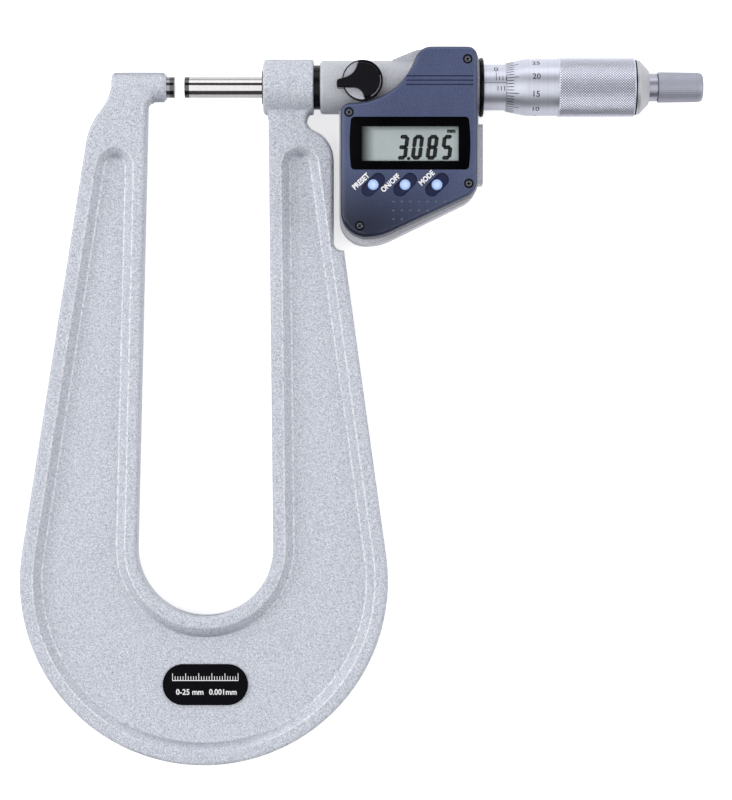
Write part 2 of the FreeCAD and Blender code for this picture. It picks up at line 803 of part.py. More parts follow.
def cavity_outline(inset):
    """The hollow for the electronics, kept clear of the screw bosses."""
    return [
        (f"cavity_left_x + {inset}", f"cavity_top_y - {inset}"),
        (f"cavity_left_x + {inset}", f"screw_low_left_y + screw_boss + {inset}"),
        (f"screw_low_left_x + screw_boss + {inset}", f"screw_low_left_y + screw_boss + {inset}"),
        (f"screw_low_left_x + screw_boss + {inset}", f"cavity_bottom_y + {inset}"),
        (f"cavity_slant_x - {inset} / 2", f"cavity_bottom_y + {inset}"),
        (f"screw_low_right_x - screw_boss - {inset}", f"cavity_slant_y + {inset}"),
        (f"screw_low_right_x - screw_boss - {inset}", f"screw_low_right_y + screw_boss + {inset}"),
        (f"cavity_right_x - {inset}", f"screw_low_right_y + screw_boss + {inset}"),
        (f"cavity_right_x - {inset}", f"cavity_top_y - {inset}"),
    ]


COVER_SCREWS = ["top_right", "top_left", "low_right", "low_left"]
SOCKET_SCREWS = {
    "upper": "socket_top_y - socket_screw_inset",
    "lower": "socket_bottom_y + socket_screw_inset",
}


def make_head_body():
    """One casting: the tube round the spindle, its spigot, and the tray behind the cover."""
    body = new_body("head_body")
    tray = draw(body, "tray", "XY_Plane", [corner[:2] for corner in tray_corners()], "tray_back_z")
    pad(body, tray, "parting_z - tray_back_z")
    round_corners(body, tray_corners())
    round_off(body, flat_faces(body.Shape, size("tray_back_z")), "tray_back_round")
    tube_profile = [
        ("spigot_start_x", "0"),
        ("spigot_start_x", "spigot_radius"),
        ("tube_start_x", "spigot_radius"),
        ("tube_start_x", "tube_radius - tube_round", "-tube_round"),
        ("tube_start_x + tube_round", "tube_radius"),
        ("tube_end_x", "tube_radius"),
        ("tube_end_x", "0"),
    ]
    spin(body, draw(body, "head_tube", "XY_Plane", tube_profile))
    cavity = draw(body, "tray_cavity", "XY_Plane", cavity_outline("0"), "parting_z")
    pocket(body, cavity, "parting_z - tray_floor_z")
    rabbet = draw(body, "gasket_rabbet", "XY_Plane", cavity_outline("(-gasket_width)"), "parting_z")
    pocket(body, rabbet, "gasket_thickness")
    bore = [
        ("spigot_start_x - cut_past", "0"),
        ("spigot_start_x - cut_past", "measuring_radius + spindle_fit"),
        ("encoder_start_x", "measuring_radius + spindle_fit"),
        ("encoder_start_x", "encoder_bore_radius"),
        ("encoder_end_x", "encoder_bore_radius"),
        ("encoder_end_x", "sleeve_seat_radius"),
        ("tube_end_x + cut_past", "sleeve_seat_radius"),
        ("tube_end_x + cut_past", "0"),
    ]
    spin(body, draw(body, "head_bores", "XY_Plane", bore), removes=True)
    shaft_hole = circle("clamp_x", "clamp_y", "(clamp_shaft_radius + clamp_fit)")
    above_tube = "tube_radius + cut_past"
    pocket(body, draw(body, "clamp_hole", "XY_Plane", shaft_hole, above_tube), above_tube)
    for place in COVER_SCREWS:
        hole = circle(f"screw_{place}_x", f"screw_{place}_y", "screw_radius")
        thread = draw(body, f"{place}_thread", "XY_Plane", hole, "cover_front_z")
        pocket(body, thread, "cover_front_z - screw_end_z")
    well = circle("battery_x", "battery_y", "(battery_radius + battery_gap)")
    well = draw(body, "battery_well", "XY_Plane", well, "tray_back_z")
    pocket(body, well, "battery_well_z - tray_back_z", True)
    seat = circle("battery_x", "battery_y", "battery_cover_radius")
    seat = draw(body, "battery_seat", "XY_Plane", seat, "tray_back_z")
    pocket(body, seat, "battery_seal_z - tray_back_z", True)
    port = rectangle(
        "socket_mid_y - socket_block_length / 2",
        "socket_mid_y + socket_block_length / 2",
        "socket_mid_z - socket_block_height / 2",
        "socket_mid_z + socket_block_height / 2",
    )
    pocket(body, draw(body, "data_port", "YZ_Plane", port, "tray_right_x"), "socket_block_depth")
    for place, height in SOCKET_SCREWS.items():
        hole = circle(height, "socket_mid_z", "socket_screw_radius")
        thread = draw(body, f"{place}_port_thread", "YZ_Plane", hole, "tray_right_x")
        pocket(body, thread, "socket_screw_length")


# Front cover, display and buttons


def cover_corners():
    """The plastic cover seen from the front, with a round bay that clears the clamp lever.

    Each corner is (x, y, rounding). The bay's arc runs from its end on the top edge to its foot.
    """
    return [
        ("cover_left_x", "bay_y", "cover_ear_radius"),
        ("cover_left_x", "cover_bottom_y", "cover_heel_radius"),
        ("cover_slant_x", "cover_bottom_y + slant_lift", "slant_radius"),
        ("cover_right_x", "cover_toe_y", "cover_toe_radius"),
        ("cover_right_x", "cover_top_y", "cover_corner_radius"),
        ("bay_end_x", "cover_top_y", "cover_shoulder_radius"),
        ("bay_x", "bay_y", "0"),
    ]


def window_outline():
    """The display window, its left and right sides bowed outwards."""
    return [
        ("window_left_x + window_corner", "window_bottom_y"),
        ("window_right_x - window_corner", "window_bottom_y", "window_corner"),
        ("window_right_x", "window_bottom_y + window_corner", "window_bulge_radius"),
        ("window_right_x", "window_top_y - window_corner", "window_corner"),
        ("window_right_x - window_corner", "window_top_y"),
        ("window_left_x + window_corner", "window_top_y", "window_corner"),
        ("window_left_x", "window_top_y - window_corner", "window_bulge_radius"),
        ("window_left_x", "window_bottom_y + window_corner", "window_corner"),
    ]


BUTTONS = {"preset_button": 0, "power_button": 1, "mode_button": 2}


def button_x(place):
    return f"first_button_x + {place} * button_pitch"


def make_front_cover():
    """Moulded cover: hollow over the electronics, saddled on the tube, pierced for its fittings."""
    body = new_body("front_cover")
    outline = [corner[:2] for corner in cover_corners()]
    outline[-2] += ("-bay_radius",)
    pad(body, draw(body, "cover_outline", "XY_Plane", outline, "parting_z"), "cover_front_z - parting_z")
    round_corners(body, cover_corners())
    round_off(body, flat_faces(body.Shape, size("cover_front_z")), "cover_edge_round")
    cavity = draw(body, "cover_cavity", "XY_Plane", cavity_outline("0"), "parting_z")
    pocket(body, cavity, "cover_inside_z - parting_z", True)
    saddle = tube("tube_start_x", "tube_end_x + cut_past", "tube_radius + cover_tube_gap")
    spin(body, draw(body, "saddle", "XY_Plane", saddle), removes=True)
    window = draw(body, "window_seat", "XY_Plane", window_outline(), "cover_front_z")
    pocket(body, window, "cover_front_z - window_back_z")
    sight = rectangle(
        "lcd_left_x - lcd_gap", "lcd_right_x + lcd_gap", "lcd_bottom_y - lcd_gap", "lcd_top_y + lcd_gap"
    )
    pocket(body, draw(body, "sight", "XY_Plane", sight, "window_back_z"), "cover_skin")
    for name, place in BUTTONS.items():
        well = stadium(button_x(place), "button_y", "oval_length", "oval_width", "45")
        pocket(body, draw(body, f"{name}_well", "XY_Plane", well, "cover_front_z"), "oval_depth")
        hole = circle(button_x(place), "button_y", "(button_radius + button_gap)")
        pocket(body, draw(body, f"{name}_hole", "XY_Plane", hole, "cover_front_z"), "2 * cover_skin")
    for place in COVER_SCREWS:
        x, y = f"screw_{place}_x", f"screw_{place}_y"
        seat = circle(x, y, "(screw_head_radius + screw_head_fit)")
        seat = draw(body, f"{place}_seat", "XY_Plane", seat, "cover_front_z")
        pocket(body, seat, "cover_front_z - screw_head_z")
        hole = circle(x, y, "screw_radius")
        hole = draw(body, f"{place}_hole", "XY_Plane", hole, "cover_front_z")
        pocket(body, hole, "cover_front_z - parting_z + cut_past")
    for step in range(3):
        middle = f"(groove_y - {step} * groove_pitch)"
        groove = rectangle(
            "groove_start_x", "groove_end_x", f"{middle} - groove_width / 2", f"{middle} + groove_width / 2"
        )
        pocket(body, draw(body, f"groove_{'abc'[step]}", "XY_Plane", groove, "cover_front_z"), "groove_depth")


def make_cover_gasket():
    """A flat ring of rubber in the rabbet round the tray's hollow."""
    lift = "parting_z - gasket_thickness"
    body = plate("cover_gasket", cavity_outline("(-gasket_width)"), lift, "gasket_thickness")
    hollow = draw(body, "gasket_hollow", "XY_Plane", cavity_outline("0"), "parting_z")
    pocket(body, hollow, "2 * gasket_thickness")


def make_cover_screws():
    """Four alike screws, one in each corner of the cover."""
    shanks = []
    for place in COVER_SCREWS:
        x, y = f"screw_{place}_x", f"screw_{place}_y"
        head = document.addObject("Part::Cylinder", f"{place}_head")
        bind(head, "Radius", "screw_head_radius")
        bind(head, "Height", "screw_head_length")
        bind(head, ".Placement.Base.x", x)
        bind(head, ".Placement.Base.y", y)
        bind(head, ".Placement.Base.z", "screw_head_z")
        shank = document.addObject("Part::Cylinder", f"{place}_shank")
        bind(shank, "Radius", "screw_radius")
        bind(shank, "Height", "screw_head_z - screw_end_z")
        bind(shank, ".Placement.Base.x", x)
        bind(shank, ".Placement.Base.y", y)
        bind(shank, ".Placement.Base.z", "screw_end_z")
        screw = document.addObject("Part::Fuse", f"{place}_screw")
        screw.Base = head
        screw.Tool = shank
        shanks.append(screw)
    group = document.addObject("Part::Compound", "cover_screws")
    group.Links = shanks
    document.recompute()


def make_display():
    """Window, liquid crystal panel and the board that carries it."""
    plate("display_window", window_outline(), "window_back_z", "window_thickness")
    lcd = rectangle("lcd_left_x", "lcd_right_x", "lcd_bottom_y", "lcd_top_y")
    plate("lcd_panel", lcd, "board_top_z", "window_back_z - lcd_gap - board_top_z")
    plate("circuit_board", cavity_outline("board_gap"), "board_z", "board_thickness")
    pad_shape = rectangle(
        "first_button_x - button_flange_radius - pad_margin",
        "first_button_x + 2 * button_pitch + button_flange_radius + pad_margin",
        "button_y - button_flange_radius - pad_margin",
        "button_y + button_flange_radius + pad_margin",
    )
    plate("button_pad", pad_shape, "board_top_z", "pad_thickness")


def make_buttons():
    """Three round push buttons, each held in by a flange under the cover."""
    profile = [
        ("0", "button_foot_z"),
        ("button_flange_radius", "button_foot_z"),
        ("button_flange_radius", "button_foot_z + button_flange_thickness"),
        ("button_radius", "button_foot_z + button_flange_thickness"),
        ("button_radius", "button_top_z - button_edge_round", "button_edge_round"),
        ("button_radius - button_edge_round", "button_top_z"),
        ("0", "button_top_z"),
    ]
    for name, place in BUTTONS.items():
        turned_upright(name, button_x(place), "button_y", profile)


# Encoder and clamp


def make_encoder():
    """The stator stays in the head. The rotor turns with the spindle by a key and lets it slide."""
    stator = tube("encoder_start_x", "stator_end_x", "encoder_bore_radius", "stator_inner_radius")
    turned("encoder_stator", stator)
    body = new_body("encoder_rotor")
    inner = "measuring_radius + spindle_fit"
    profile = [
        ("rotor_start_x", inner),
        ("rotor_start_x", "rotor_radius"),
        ("rotor_start_x + rotor_disc_length", "rotor_radius"),
        ("rotor_start_x + rotor_disc_length", "rotor_bush_radius"),
        ("rotor_end_x", "rotor_bush_radius"),
        ("rotor_end_x", inner),
    ]
    spin(body, draw(body, "rotor_profile", "XY_Plane", profile))
    key = rectangle("rotor_start_x", "rotor_end_x", "-rotor_key_width / 2", "rotor_key_width / 2")
    lift = "measuring_radius + spindle_fit - rotor_key_height"
    pad(body, draw(body, "rotor_key", "XY_Plane", key, lift), "rotor_key_height + rotor_key_root")


def grip_outline():
    """The lever's raised part: round on the right, with a hollow on each side of the finger tab."""
    return [
        ("clamp_x - clamp_tab_reach", "clamp_y - clamp_tab_low"),
        ("clamp_x - clamp_lower_root", "clamp_y - clamp_tab_low", "-clamp_lower_scoop"),
        (
            "clamp_x + clamp_grip_radius * cos(clamp_lower_angle)",
            "clamp_y + clamp_grip_radius * sin(clamp_lower_angle)",
            "clamp_grip_radius",
        ),
        ("clamp_x + clamp_grip_radius", "clamp_y", "clamp_grip_radius"),
        (
            "clamp_x + clamp_grip_radius * cos(clamp_upper_angle)",
            "clamp_y + clamp_grip_radius * sin(clamp_upper_angle)",
            "-clamp_upper_scoop",
        ),
        ("clamp_x - clamp_upper_root", "clamp_y + clamp_shoulder"),
        ("clamp_x - clamp_tab_reach", "clamp_y + clamp_tab_high", "clamp_tab_bulge"),
    ]


def make_clamp():
    """A round lever with a raised grip and finger tab, on a shaft that presses on the spindle."""
    disc = circle("clamp_x", "clamp_y", "clamp_disc_radius")
    body = plate("clamp_lever", disc, "clamp_base_z", "clamp_rim_z - clamp_base_z")
    grip = draw(body, "clamp_grip", "XY_Plane", grip_outline(), "clamp_base_z")
    pad(body, grip, "clamp_top_z - clamp_base_z")
    round_off(body, flat_faces(body.Shape, size("clamp_top_z")), "clamp_grip_round")
    shaft = document.addObject("Part::Cylinder", "clamp_shaft")
    shaft.Label = "clamp_shaft"
    bind(shaft, "Radius", "clamp_shaft_radius")
    bind(shaft, "Height", "clamp_base_z - clamp_shaft_end_z")
    bind(shaft, ".Placement.Base.x", "clamp_x")
    bind(shaft, ".Placement.Base.y", "clamp_y")
    bind(shaft, ".Placement.Base.z", "clamp_shaft_end_z")


# Sleeves, nut, spindle and thimble


def make_sleeves():
    """The fixed stack on the head's tube: collar, inner sleeve with the nut, scale sleeve, taper nut."""
    collar = [
        ("tube_end_x", "sleeve_seat_radius"),
        ("tube_end_x", "collar_radius - collar_round", "-collar_round"),
        ("tube_end_x + collar_round", "collar_radius"),
        ("collar_end_x - collar_round", "collar_radius", "-collar_round"),
        ("collar_end_x", "collar_radius - collar_round"),
        ("collar_end_x", "sleeve_seat_radius"),
    ]
    turned("end_collar", collar)
    inner = [
        ("encoder_end_x", "inner_sleeve_bore"),
        ("encoder_end_x", "sleeve_seat_radius"),
        ("collar_end_x", "sleeve_seat_radius"),
        ("collar_end_x", "inner_sleeve_radius"),
        ("inner_sleeve_end_x", "inner_sleeve_radius"),
        ("inner_sleeve_end_x", "thread_radius + nut_fit"),
        ("nut_start_x", "thread_radius + nut_fit"),
        ("nut_start_x", "inner_sleeve_bore"),
    ]
    turned("inner_sleeve", inner)
    outer = tube("collar_end_x", "outer_sleeve_end_x", "outer_sleeve_radius", "inner_sleeve_radius")
    turned("outer_sleeve", outer)
    nut_start = "outer_sleeve_end_x + taper_nut_gap"
    turned("taper_nut", tube(nut_start, "inner_sleeve_end_x", "taper_nut_radius", "inner_sleeve_radius"))


def make_spindle():
    """Ground rod with a keyway, then the screw, with a hard tip at the measuring face."""
    body = new_body("spindle")
    profile = [
        ("tip_end_x", "0"),
        ("tip_end_x", "measuring_radius"),
        ("thread_start_x - thread_run_in", "measuring_radius"),
        ("thread_start_x", "thread_radius"),
        ("thimble_end_x", "thread_radius"),
        ("thimble_end_x", "ratchet_screw_radius"),
        ("ratchet_screw_start_x", "ratchet_screw_radius"),
        ("ratchet_screw_start_x", "0"),
    ]
    spin(body, draw(body, "spindle_profile", "XY_Plane", profile))
    slot = rectangle("keyway_start_x", "keyway_end_x", "-keyway_width / 2", "keyway_width / 2")
    keyway = draw(body, "keyway", "XY_Plane", slot, "measuring_radius + cut_past")
    pocket(body, keyway, "keyway_depth + cut_past")
    turned("spindle_tip", tube("reading", "tip_end_x", "measuring_radius"))


def make_thimble():
    """Thin-edged cone, plain barrel and knurled grip, closed at the back by its wall and cap."""
    profile = [
        ("thimble_edge_x", "thimble_bore"),
        ("thimble_edge_x", "thimble_bore + thimble_edge_wall"),
        ("thimble_cone_end_x", "thimble_radius"),
        ("knurl_start_x", "thimble_radius"),
        ("knurl_start_x + knurl_chamfer", "knurl_radius"),
        ("knurl_end_x - knurl_chamfer", "knurl_radius"),
        ("knurl_end_x", "thimble_band_radius"),
        ("thimble_end_x", "thimble_band_radius"),
        ("thimble_end_x", "thread_radius"),
        ("thimble_wall_x", "thread_radius"),
        ("thimble_wall_x", "thimble_bore"),
    ]
    turned("thimble", profile)
    cap = [
        ("thimble_end_x", "ratchet_screw_radius"),
        ("thimble_end_x", "cap_rim_radius"),
        ("thimble_end_x + cap_rim_length", "cap_rim_radius"),
        ("cap_end_x", "cap_face_radius"),
        ("cap_end_x", "ratchet_screw_radius"),
    ]
    turned("thimble_cap", cap)


# Ratchet


def add_teeth(body, name, start, reverse):
    """Ring of square face teeth round the X axis."""
    tooth = rectangle(
        "-ratchet_tooth_width / 2", "ratchet_tooth_width / 2", "ratchet_tooth_inner", "ratchet_tooth_outer"
    )
    first = pad(body, draw(body, name, "YZ_Plane", tooth, start), "ratchet_tooth_height", reverse)
    ring = body.newObject("PartDesign::PolarPattern", f"{name}_ring")
    ring.Originals = [first]
    ring.Axis = (origin_part(body, "X_Axis"), [""])
    ring.Angle = 360
    bind(ring, "Occurrences", "ratchet_teeth")
    settle(body, ring)


def make_ratchet():
    """Neck, toothed clutch, spring and knob that slip when the measuring force is reached."""
    neck = [
        ("cap_end_x", "ratchet_screw_radius"),
        ("cap_end_x", "neck_radius"),
        ("neck_end_x", "neck_radius"),
        ("neck_end_x", "ratchet_tooth_outer"),
        ("tooth_crest_x - ratchet_tooth_height", "ratchet_tooth_outer"),
        ("tooth_crest_x - ratchet_tooth_height", "ratchet_screw_radius"),
    ]
    body = turned("ratchet_neck", neck)
    add_teeth(body, "neck_tooth", "tooth_crest_x - ratchet_tooth_height", False)
    inner = "ratchet_screw_radius + ratchet_fit"
    clutch = turned("ratchet_clutch", tube("clutch_start_x", "clutch_end_x", "clutch_radius", inner))
    add_teeth(clutch, "clutch_tooth", "clutch_start_x", True)
    spring = tube("clutch_end_x", "knob_flange_x", "ratchet_tooth_outer", "ratchet_tooth_inner")
    turned("ratchet_spring", spring)
    screw = [
        ("ratchet_screw_start_x", "0"),
        ("ratchet_screw_start_x", "ratchet_screw_radius"),
        ("ratchet_screw_head_x", "ratchet_screw_radius"),
        ("ratchet_screw_head_x", "ratchet_screw_head_radius"),
        ("ratchet_screw_head_x + ratchet_screw_head_length", "ratchet_screw_head_radius"),
        ("ratchet_screw_head_x + ratchet_screw_head_length", "0"),
    ]
    turned("ratchet_screw", screw)
    knob = [
        ("knob_start_x", "knob_bore_radius"),
        ("knob_start_x", "knob_radius"),
        ("knob_end_x - knob_end_round", "knob_end_radius", "-knob_end_round"),
        ("knob_end_x", "knob_end_radius - knob_end_round"),
        ("knob_end_x", "knob_rear_bore_radius"),
        ("knob_flange_end_x", "knob_rear_bore_radius"),
        ("knob_flange_end_x", inner),
        ("knob_flange_x", inner),
        ("knob_flange_x", "knob_bore_radius"),
    ]
    turned("ratchet_knob", knob)
    turned("knob_cap", tube("knob_cap_x", "knob_end_x", "knob_rear_bore_radius"))


# Battery and data socket


def make_battery():
    """Button cell behind a screwed cover in the casting's back."""
    def disc(radius):
        return circle("battery_x", "battery_y", radius)

    cover = plate("battery_cover", disc("battery_cover_radius"), "tray_back_z", "battery_cover_thickness")
    slot = stadium("battery_x", "battery_y", "coin_slot_length", "coin_slot_width")
    pocket(cover, draw(cover, "coin_slot", "XY_Plane", slot, "tray_back_z"), "coin_slot_depth", True)
    seal = plate("battery_seal", disc("battery_cover_radius"), "battery_cover_z", "battery_seal_thickness")
    hollow = draw(seal, "seal_hollow", "XY_Plane", disc("(battery_radius + battery_gap)"), "battery_seal_z")
    pocket(seal, hollow, "2 * battery_seal_thickness")
    plate("battery", disc("battery_radius"), "battery_z", "battery_height")
    plate("battery_contact", disc("(battery_radius - contact_inset)"), "battery_top_z", "contact_thickness")


def make_data_socket():
    """Contact block in the right side of the casting, under a small screwed plate."""
    block = new_body("data_socket")
    outline = rectangle(
        "socket_mid_y - socket_block_length / 2",
        "socket_mid_y + socket_block_length / 2",
        "socket_mid_z - socket_block_height / 2",
        "socket_mid_z + socket_block_height / 2",
    )
    pad(block, draw(block, "socket_block", "YZ_Plane", outline, "tray_right_x"), "socket_block_depth", True)
    cover = new_body("socket_plate")
    shape = rounded("socket_bottom_y", "socket_top_y", "socket_back_z", "socket_front_z", "socket_corner")
    face = draw(cover, "socket_plate_outline", "YZ_Plane", shape, "tray_right_x")
    pad(cover, face, "socket_plate_thickness")
    screws = []
    for place, height in SOCKET_SCREWS.items():
        hole = circle(height, "socket_mid_z", "socket_screw_radius")
        hole = draw(cover, f"{place}_plate_hole", "YZ_Plane", hole, "socket_plate_x + cut_past")
        pocket(cover, hole, "socket_plate_thickness + 2 * cut_past")
        seat = circle(height, "socket_mid_z", "socket_screw_head_radius")
        seat = draw(cover, f"{place}_plate_seat", "YZ_Plane", seat, "socket_plate_x")
        pocket(cover, seat, "socket_screw_head_length")
        head = lying_cylinder(f"{place}_port_head", height, "socket_plate_x - socket_screw_head_length")
        bind(head, "Radius", "socket_screw_head_radius")
        bind(head, "Height", "socket_screw_head_length")
        shank = lying_cylinder(f"{place}_port_shank", height, "tray_right_x - socket_screw_length")
        bind(shank, "Radius", "socket_screw_radius")
        bind(shank, "Height", "socket_screw_length + socket_plate_thickness - socket_screw_head_length")
        screw = document.addObject("Part::Fuse", f"{place}_port_screw")
        screw.Base = head
        screw.Tool = shank
        screws.append(screw)
    group = document.addObject("Part::Compound", "socket_screws")
    group.Links = screws
    document.recompute()


def lying_cylinder(name, height, start):
    """A cylinder along X, from a start and at a height on the socket's middle line."""
    rod = document.addObject("Part::Cylinder", name)
    rod.Placement = FreeCAD.Placement(Vector(0, 0, 0), FreeCAD.Rotation(Vector(0, 1, 0), 90))
    bind(rod, ".Placement.Base.x", start)
    bind(rod, ".Placement.Base.y", height)
    bind(rod, ".Placement.Base.z", "socket_mid_z")
    return rod


make_frame()
make_anvil()
make_range_plate()
make_head_rings()
make_head_body()
make_front_cover()
make_cover_gasket()
make_cover_screws()
make_display()
make_buttons()
make_encoder()
make_clamp()
make_sleeves()
make_spindle()
make_thimble()
make_ratchet()
make_battery()
make_data_socket()

# Check and write every piece

PIECES = [
    "frame", "anvil", "anvil_tip", "range_plate", "spindle_seal", "mounting_ring", "head_body", "front_cover",
    "cover_gasket", "cover_screws", "display_window", "lcd_panel", "circuit_board", "button_pad",
    "preset_button", "power_button", "mode_button", "encoder_stator", "encoder_rotor", "clamp_lever",
    "clamp_shaft", "end_collar", "inner_sleeve", "outer_sleeve", "taper_nut", "spindle", "spindle_tip",
    "thimble", "thimble_cap", "ratchet_neck", "ratchet_clutch", "ratchet_spring", "ratchet_screw",
    "ratchet_knob", "knob_cap", "battery", "battery_contact", "battery_cover", "battery_seal",
    "data_socket", "socket_plate", "socket_screws",
]

document.recompute()
for feature in document.Objects:
    if "Invalid" in feature.State or "Error" in feature.State:
        raise RuntimeError(f"{feature.Name} failed: {feature.State}")
os.makedirs("parts", exist_ok=True)
for name in PIECES:
    shape = document.getObject(name).Shape
    if shape.isNull() or not shape.isValid():
        raise RuntimeError(f"{name} is not a valid solid")
    shape.exportStep(f"parts/{name}.step")
    print(f"{name}: {len(shape.Solids)} solid, {shape.Volume:.1f} cubic mm")
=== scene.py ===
# %% [markdown]
# # A digital plate micrometer
#
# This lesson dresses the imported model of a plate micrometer: a deep U-shaped frame, a display head
# and a thimble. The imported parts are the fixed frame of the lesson. They keep their places, and each
# one gets a finish. Small details that CAD leaves plain, such as scales, print, knurling and screw
# slots, are added as pieces of their own.

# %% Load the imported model
import json
import math

import bmesh
import bpy
from mathutils import Matrix
from mathutils import Vector


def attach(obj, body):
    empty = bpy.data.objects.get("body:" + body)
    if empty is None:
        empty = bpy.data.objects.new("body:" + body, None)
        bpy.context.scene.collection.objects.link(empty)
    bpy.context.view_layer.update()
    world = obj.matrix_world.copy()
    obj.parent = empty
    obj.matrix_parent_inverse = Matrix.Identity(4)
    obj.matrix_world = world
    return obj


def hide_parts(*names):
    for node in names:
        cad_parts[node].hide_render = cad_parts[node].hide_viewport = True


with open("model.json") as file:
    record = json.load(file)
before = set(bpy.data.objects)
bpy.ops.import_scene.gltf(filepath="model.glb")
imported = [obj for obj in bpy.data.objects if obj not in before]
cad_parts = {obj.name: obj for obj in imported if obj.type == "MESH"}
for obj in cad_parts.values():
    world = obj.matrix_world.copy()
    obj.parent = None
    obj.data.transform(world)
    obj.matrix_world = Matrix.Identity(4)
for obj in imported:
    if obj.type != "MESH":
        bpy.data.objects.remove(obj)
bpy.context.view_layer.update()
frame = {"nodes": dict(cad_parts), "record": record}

# %% [markdown]
# ## The camera
#
# The instrument was photographed from straight above. A camera can match that with an orthographic
# lens or with a long lens at a real distance. The long lens is chosen, because the raised head should
# look very slightly larger than the flat frame below it. Blender measures the lens against the longer
# side of the picture, which is its height here.

# %% Place the camera
MM = 0.001
CAMERA_HEIGHT = 0.8
LENS = 118.8
PICTURE_CENTRE = Vector((57.94 * MM, -94.7 * MM, 0))

camera_data = bpy.data.cameras.new("camera")
camera_data.lens = LENS
camera_data.sensor_width = 36
camera_data.clip_start = 0.01
camera_data.clip_end = 20
camera = bpy.data.objects.new("camera", camera_data)
camera.location = PICTURE_CENTRE + Vector((0, 0, CAMERA_HEIGHT))
bpy.context.scene.collection.objects.link(camera)
bpy.context.scene.camera = camera
bpy.context.scene.view_settings.view_transform = "Standard"
print("camera looks down from", CAMERA_HEIGHT, "m")

# %% [markdown]
# ## A short way to write shader nodes
#
# Every finish below is a small network of shader nodes. Each node is added by one call, which takes a
# value for a socket, or another node's output to link from. That keeps a network as short to read as
# a sum. An effect that several finishes share is a node group with named inputs and outputs.

# %% Helpers for nodes and groups
def put(tree, kind, inputs=None, **settings):
    """Adds a shader node with its settings, values and links."""
    made = tree.nodes.new(kind)
    for name, value in settings.items():
        setattr(made, name, value)
    for name, value in (inputs or {}).items():
        if isinstance(value, bpy.types.NodeSocket):
            tree.links.new(value, made.inputs[name])
        else:
            made.inputs[name].default_value = value
    return made


def new_group(name, inputs, outputs):
    """Starts a node group and gives its tree and its two end nodes."""
    tree = bpy.data.node_groups.new(name, "ShaderNodeTree")
    for label, kind, start in inputs:
        socket = tree.interface.new_socket(label, in_out="INPUT", socket_type=kind)
        socket.default_value = start
    for label, kind in outputs:
        tree.interface.new_socket(label, in_out="OUTPUT", socket_type=kind)
    return tree, tree.nodes.new("NodeGroupInput"), tree.nodes.new("NodeGroupOutput")


def blend_colours(tree, amount, first, second):
    """A mix of two colours, each a socket or three numbers."""
    mixer = put(tree, "ShaderNodeMix", {0: amount}, data_type="RGBA")
    for socket, value in ((mixer.inputs[6], first), (mixer.inputs[7], second)):
        if isinstance(value, bpy.types.NodeSocket):
            tree.links.new(value, socket)
        else:
            socket.default_value = (*value, 1)
    return mixer.outputs[2]


def scaled(tree, value, low, high, new_low, new_high):
    """A value moved from one range to another and kept inside it."""
    sockets = {"Value": value, "From Min": low, "From Max": high, "To Min": new_low, "To Max": new_high}
    return put(tree, "ShaderNodeMapRange", sockets).outputs[0]


def maths(tree, operation, first, second=0.0):
    """One sum on two values."""
    return put(tree, "ShaderNodeMath", {0: first, 1: second}, operation=operation).outputs[0]


def weighed(tree, first, second, share):
    """Two values added up, the first by its share and the second by the rest."""
    rest = maths(tree, "MULTIPLY", second, 1 - share)
    return maths(tree, "ADD", maths(tree, "MULTIPLY", first, share), rest)


def object_place(tree):
    """The surface's place in the part's own coordinates, whole and as its three axes."""
    place = put(tree, "ShaderNodeTexCoord").outputs["Object"]
    return place, put(tree, "ShaderNodeSeparateXYZ", {0: place}).outputs


# %% [markdown]
# ## Effects that finishes share
#
# The frame's hammered enamel dries into small dark pools between pale crests. The same effect could
# be painted, but a Voronoi pattern for the cells with a little noise for the flecks gives it at the
# right scale on every side. The pattern reads Object coordinates, so it stays in place on the part.

# %% Hammered enamel
hammered, entry, leave = new_group(
    "hammered enamel",
    [("Size", "NodeSocketFloat", 1.0)],
    [("Tone", "NodeSocketFloat"), ("Height", "NodeSocketFloat")],
)
place = put(hammered, "ShaderNodeTexCoord").outputs["Object"]
per_size = maths(hammered, "DIVIDE", 1000.0, entry.outputs["Size"])
cells = put(
    hammered, "ShaderNodeTexVoronoi",
    {"Vector": place, "Scale": maths(hammered, "MULTIPLY", per_size, 1.7), "Randomness": 1.0},
    feature="SMOOTH_F1",
)
flecks = put(
    hammered, "ShaderNodeTexNoise",
    {"Vector": place, "Scale": maths(hammered, "MULTIPLY", per_size, 3.4), "Detail": 2.0, "Roughness": 0.6},
)
pools = scaled(hammered, cells.outputs["Distance"], 0.1, 0.75, 1.0, 0.0)
fine = scaled(hammered, flecks.outputs["Fac"], 0.38, 0.62, 0.0, 1.0)
hammered.links.new(weighed(hammered, pools, fine, 0.35), leave.inputs["Tone"])
hammered.links.new(maths(hammered, "ADD", pools, fine), leave.inputs["Height"])
print("group made:", hammered.name)

# %% [markdown]
# Moulded plastic and cast metal have an even, much finer grain, and every handled surface has broad
# faint patches where it is a little duller. Both come from one noise each.

